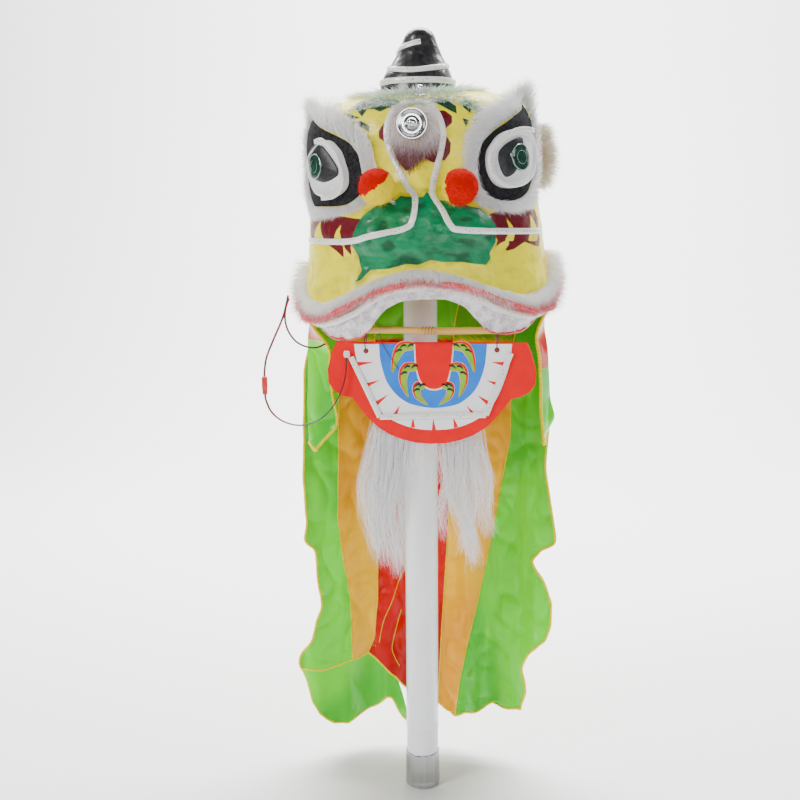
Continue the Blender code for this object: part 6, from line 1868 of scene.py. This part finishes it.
# Pole and leads
def make_pole(s, finishes):
    low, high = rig.box("pole")
    ferrule_low, ferrule_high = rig.box("pole_ferrule")
    radius = POLE_RADIUS
    profile = [(0, low.z), (radius * 0.9, low.z), (radius * 0.985, low.z + 0.001),
               (radius * 0.985, 0.0925), (radius * 0.965, 0.0935), (radius * 0.965, 0.0942),
               (radius, 0.095), (radius, 0.103), (radius * 0.982, 0.1042), (radius * 0.982, 0.1048),
               (radius * 0.992, 0.1056), (radius * 0.995, 0.5), (radius * 0.995, high.z - 0.001),
               (radius * 0.98, high.z), (0, high.z)]
    pipe = turned_piece("white_pipe", profile, 96, finishes.pipe, "pvc", Matrix.Identity(4), 30)
    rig.replaces(pipe, "pole")
    tall, outer = ferrule_high.z, (ferrule_high.x - ferrule_low.x) / 2
    profile = [(0, 0), (outer * 0.95, 0), (outer * 0.99, 0.0008), (outer, 0.002), (outer, 0.009),
               (outer * 0.992, 0.0095), (outer * 0.992, 0.0105), (outer, 0.011), (outer, tall * 0.55),
               (outer * 0.995, tall - 0.003), (outer * 0.985, tall - 0.0006), (outer * 0.97, tall),
               (radius * 0.998, tall), (radius * 0.998, 0.0026), (0, 0.0026)]
    steel = turned_piece("steel_ferrule", profile, 96, finishes.steel, "steel", Matrix.Identity(4), 30)
    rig.replaces(steel, "pole_ferrule")


def wire(name, points, shift, finish):
    """One wire of a pair, beside the middle of the lead."""
    path = flowing(points, 90)
    frames = transported(path)
    path = [spot + side * shift for spot, (side, _) in zip(path, frames)]
    made = tube_piece(name, path, WIRE_RADIUS, finish, "wire", 10)
    return made, path, travelled(path)[-1]


def make_leads(s, finishes):
    low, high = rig.box("lead_connector")
    built = bmesh.new()
    size = high - low
    middle = (low + high) / 2
    for up, wide, deep, tall in ((0.17, 1.0, 1.0, 0.66), (-0.3, 0.86, 0.86, 0.4), (0.02, 1.0, 0.6, 0.1)):
        box = bmesh.ops.create_cube(built, size=1.0)["verts"]
        bmesh.ops.scale(built, vec=(size.x * wide * 0.97, size.y * deep * 0.97, size.z * tall), verts=box)
        bmesh.ops.translate(built, vec=middle + Vector((0, 0, up * size.z)), verts=box)
        edges = list({edge for vert in box for edge in vert.link_edges})
        bmesh.ops.bevel(built, geom=edges, offset=0.0005, offset_type="OFFSET", segments=2, profile=0.5,
                        affect="EDGES", material=-1)
    connector = finished("wire_connector", built, finishes.plug, "plug", 30)
    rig.replaces(connector, "lead_connector")
    for lead, points, node, far_end in (("head_lead", HEAD_LEAD, "lead_head", "connector"),
                                        ("jaw_lead", JAW_LEAD, "lead_jaw", "object"),
                                        ("spare_lead", SPARE_LEAD, "lead_spare", "bare")):
        for colour, shift, finish in (("red", -0.0009, finishes.red_wire),
                                      ("black", 0.0009, finishes.black_wire)):
            made, path, length = wire("%s_%s" % (lead, colour), points, shift, finish)
            if colour == "red":
                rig.replaces(made, node)
            on_it = [connector] if node == "lead_head" else []
            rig.cord(made, path[0], length, 2 * WIRE_RADIUS, far_end, "limp", "hanging", path, on_it)


# Camera, floor and light
def area_light(name, spot, aim, size, power, colour=(1, 1, 1)):
    data = bpy.data.lights.new(name, "AREA")
    data.shape = "RECTANGLE"
    data.size, data.size_y = size
    data.energy = power
    data.color = colour
    made = bpy.data.objects.new(name, data)
    way = Vector(aim) - Vector(spot)
    made.matrix_world = Matrix.Translation(spot) @ way.to_track_quat("-Z", "Y").to_matrix().to_4x4()
    bpy.context.scene.collection.objects.link(made)


def make_stage(s):
    data = bpy.data.cameras.new("photo_camera")
    data.sensor_width = SENSOR
    data.lens = FOCAL_PIXELS / PHOTO_SIDE * SENSOR
    camera = bpy.data.objects.new("photo_camera", data)
    turn = Matrix((SIDEWAYS, UPWARD, -AHEAD)).transposed().to_4x4()
    camera.matrix_world = Matrix.Translation(EYE_POINT) @ turn
    bpy.context.scene.collection.objects.link(camera)
    bpy.context.scene.camera = camera

    pale = new_finish("pale studio floor", s.floor, 0.6)[0]
    built = bmesh.new()

    def place(i, j):
        run = mixed(-4.0, 6.0, j / 60)
        turn = min(max((run - 2.0) / 1.6, 0.0), pi / 2)
        beyond = max(0.0, run - 2.0 - 1.6 * pi / 2)
        return Vector((mixed(-6, 6, i / 12), min(run, 2.0) + 1.6 * sin(turn),
                       1.6 * (1 - cos(turn)) + beyond))
    add_grid(built, 12, 60, place)
    bmesh.ops.recalc_face_normals(built, faces=built.faces)
    data = bpy.data.meshes.new("studio_floor")
    built.to_mesh(data)
    built.free()
    data.shade_smooth()
    data.materials.append(pale)
    floor = bpy.data.objects.new("studio_floor", data)
    bpy.context.scene.collection.objects.link(floor)
    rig.stage(floor)

    world = bpy.data.worlds.new("studio_light")
    bpy.context.scene.world = world
    world.use_nodes = True
    back = world.node_tree.nodes["Background"]
    back.inputs["Color"].default_value = (0.95, 0.97, 1.0, 1.0)
    back.inputs["Strength"].default_value = s.surround
    area_light("key", (-2.1, -1.9, 2.0), (0, 0, 0.7), (0.9, 0.8), s.key_power * 1.1, (1.0, 0.98, 0.95))
    area_light("front", (0.4, -2.8, 1.6), (0, 0, 0.7), (0.9, 0.9), s.key_power * 0.3)
    area_light("fill", (2.1, -2.1, 1.2), (0, 0, 0.6), (1.2, 1.2), s.key_power * 0.3, (0.95, 0.97, 1.0))
    area_light("top", (0.2, 0.7, 2.7), (0, 0, 0.9), (1.2, 1.0), s.key_power * 0.35)
    area_light("backdrop", (0, 0.9, 3.2), (0, 3.6, 0.8), (4.0, 1.0), s.key_power * 7.2)
    area_light("backdrop_low", (0, 1.3, 2.4), (0, 1.9, 0.0), (4.0, 0.6), s.key_power * 3.6)


# Settings that a user would change
def tone(name, default, description):
    return bpy.props.FloatVectorProperty(name=name, description=description, default=default,
                                         subtype="COLOR", size=3, min=0.0, max=1.0)


def amount(name, default, description):
    return bpy.props.IntProperty(name=name, description=description, default=default, min=0)


def measure(name, default, description, low, high, unit="NONE"):
    return bpy.props.FloatProperty(name=name, description=description, default=default, min=low,
                                   max=high, unit=unit)


class LionHeadSettings(bpy.types.PropertyGroup):
    yellow: tone("Yellow", (0.97, 0.86, 0.0), "Paint of the face")
    maroon: tone("Maroon", (0.11, 0.0, 0.008), "Painted cheeks")
    green: tone("Green", (0.0, 0.22, 0.08), "Painted nose")
    relief: measure("Relief", 1.0, "Strength of the modelled lumps", 0.0, 2.0)
    fur_length: measure("Fur length", 0.012, "Length of the brow hairs", 0.002, 0.05, "LENGTH")
    brow_hairs: amount("Brow hairs", 9500, "Hairs of one brow")
    tuft_hairs: amount("Tuft hairs", 2600, "Hairs of the tuft on the forehead")
    collar_hairs: amount("Collar hairs", 4500, "Hairs round the horn")
    lip_hairs: amount("Lip hairs", 14000, "Hairs of the upper lip")
    wool_hairs: amount("Wool fibres", 2200, "Loose fibres of one pompom")
    beard_fullness: measure("Beard fullness", 0.8, "Share of beard hairs", 0.1, 2.0)


class LionCapeSettings(bpy.types.PropertyGroup):
    # Each satin colour comes as a lit copy and a shaded copy, for painted light and shade
    green: tone("Green", (0.14, 0.8, 0.01), "Green satin in the light")
    shaded_green: tone("Deep green", (0.06, 0.52, 0.02), "Green satin in its folds")
    orange: tone("Orange", (0.95, 0.5, 0.0), "Orange satin in the light")
    shaded_orange: tone("Deep orange", (0.82, 0.34, 0.0), "Orange satin in its folds")
    red: tone("Red", (0.62, 0.0, 0.0), "Red satin in the light")
    deep_red: tone("Deep red", (0.42, 0.0, 0.0), "Red satin in its folds")
    folds: measure("Folds", 0.007, "Depth of the small folds", 0.0, 0.02, "LENGTH")


class LionStageSettings(bpy.types.PropertyGroup):
    floor: tone("Floor", (0.8, 0.8, 0.8), "Floor and backdrop")
    surround: measure("Surround", 0.13, "Light from all round", 0.0, 5.0)
    key_power: measure("Key light", 62.0, "Power of the main light", 0.0, 1000.0)


def run(context, group, *makes):
    """Work of one button: its functions, with a group of settings and with the finishes, made once."""
    scene = context.scene
    if Head.finishes is None:
        Head.finishes = Finishes(scene.lion_head, scene.lion_cape)
    for make in makes:
        make(getattr(scene, group), Head.finishes)
    return {"FINISHED"}


class LionSkull(bpy.types.Operator):
    """Make the painted skull"""
    bl_idname = "lion.skull"
    bl_label = "Skull"

    def execute(self, context):
        return run(context, "lion_head", make_skull)


class LionEyes(bpy.types.Operator):
    """Make the eyes with their felt, light strips and brow fur"""
    bl_idname = "lion.eyes"
    bl_label = "Eyes and brows"

    def execute(self, context):
        return run(context, "lion_head", make_eyes)


class LionForehead(bpy.types.Operator):
    """Make the face strip, forehead tuft, mirror and bell"""
    bl_idname = "lion.forehead"
    bl_label = "Forehead"

    def execute(self, context):
        return run(context, "lion_head", make_forehead)


class LionHorn(bpy.types.Operator):
    """Make the horn with its strips and fur collar"""
    bl_idname = "lion.horn"
    bl_label = "Horn"

    def execute(self, context):
        return run(context, "lion_head", make_horn)


class LionPompoms(bpy.types.Operator):
    """Make the two wool pompoms on their springs"""
    bl_idname = "lion.pompoms"
    bl_label = "Pompoms"

    def execute(self, context):
        return run(context, "lion_head", make_pompoms)


class LionEars(bpy.types.Operator):
    """Make the two fur ears"""
    bl_idname = "lion.ears"
    bl_label = "Ears"

    def execute(self, context):
        return run(context, "lion_head", make_ears)


class LionLip(bpy.types.Operator):
    """Make the gum, its light strip and the lip fur"""
    bl_idname = "lion.lip"
    bl_label = "Lip and gum"

    def execute(self, context):
        return run(context, "lion_head", make_gum, make_lip)


class LionJaw(bpy.types.Operator):
    """Make the bamboo rod, the strings and the printed jaw board"""
    bl_idname = "lion.jaw"
    bl_label = "Jaw"

    def execute(self, context):
        return run(context, "lion_head", make_rod, make_board)


class LionBeard(bpy.types.Operator):
    """Make the beard"""
    bl_idname = "lion.beard"
    bl_label = "Beard"

    def execute(self, context):
        return run(context, "lion_head", make_beard)


class LionCape(bpy.types.Operator):
    """Make the satin cape, its turned edges and gold braid"""
    bl_idname = "lion.cape"
    bl_label = "Cape"

    def execute(self, context):
        return run(context, "lion_cape", make_cape)


class LionPole(bpy.types.Operator):
    """Make the pole and its ferrule"""
    bl_idname = "lion.pole"
    bl_label = "Pole"

    def execute(self, context):
        return run(context, "lion_head", make_pole)


class LionLeads(bpy.types.Operator):
    """Make the wires of the light strips and their connector"""
    bl_idname = "lion.leads"
    bl_label = "Leads"

    def execute(self, context):
        return run(context, "lion_head", make_leads)


class LionStage(bpy.types.Operator):
    """Make the camera, floor and lights"""
    bl_idname = "lion.stage"
    bl_label = "Stage"

    def execute(self, context):
        make_stage(context.scene.lion_stage)
        return {"FINISHED"}


OPERATORS = (LionStage, LionSkull, LionEyes, LionForehead, LionHorn, LionPompoms, LionEars, LionLip,
             LionJaw, LionBeard, LionCape, LionPole, LionLeads)


class LionPanel(bpy.types.Panel):
    bl_idname = "VIEW3D_PT_lion_head"
    bl_label = "Lion Head"
    bl_space_type = "VIEW_3D"
    bl_region_type = "UI"
    bl_category = "Lion Head"

    def draw(self, context):
        for key in ("lion_head", "lion_cape", "lion_stage"):
            group = getattr(context.scene, key)
            box = self.layout.box()
            for name in group.__annotations__:
                box.prop(group, name)
        for operator in OPERATORS:
            self.layout.operator(operator.bl_idname)


CLASSES = (LionHeadSettings, LionCapeSettings, LionStageSettings, *OPERATORS, LionPanel)


def register():
    for kind in CLASSES:
        bpy.utils.register_class(kind)
    bpy.types.Scene.lion_head = bpy.props.PointerProperty(type=LionHeadSettings)
    bpy.types.Scene.lion_cape = bpy.props.PointerProperty(type=LionCapeSettings)
    bpy.types.Scene.lion_stage = bpy.props.PointerProperty(type=LionStageSettings)


def unregister():
    del bpy.types.Scene.lion_head, bpy.types.Scene.lion_cape, bpy.types.Scene.lion_stage
    for kind in reversed(CLASSES):
        bpy.utils.unregister_class(kind)


def main():
    register()
    bpy.ops.lion.stage()
    bpy.ops.lion.skull()
    bpy.ops.lion.eyes()
    bpy.ops.lion.forehead()
    bpy.ops.lion.horn()
    bpy.ops.lion.pompoms()
    bpy.ops.lion.ears()
    bpy.ops.lion.lip()
    bpy.ops.lion.jaw()
    bpy.ops.lion.beard()
    bpy.ops.lion.cape()
    bpy.ops.lion.pole()
    bpy.ops.lion.leads()
    with open("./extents.json", "w") as out:
        json.dump({"cad": [list(corner) for corner in CAD_BOX],
                   "model": [list(corner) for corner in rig.bounds()]}, out)


if __name__ == "__main__":
    main()
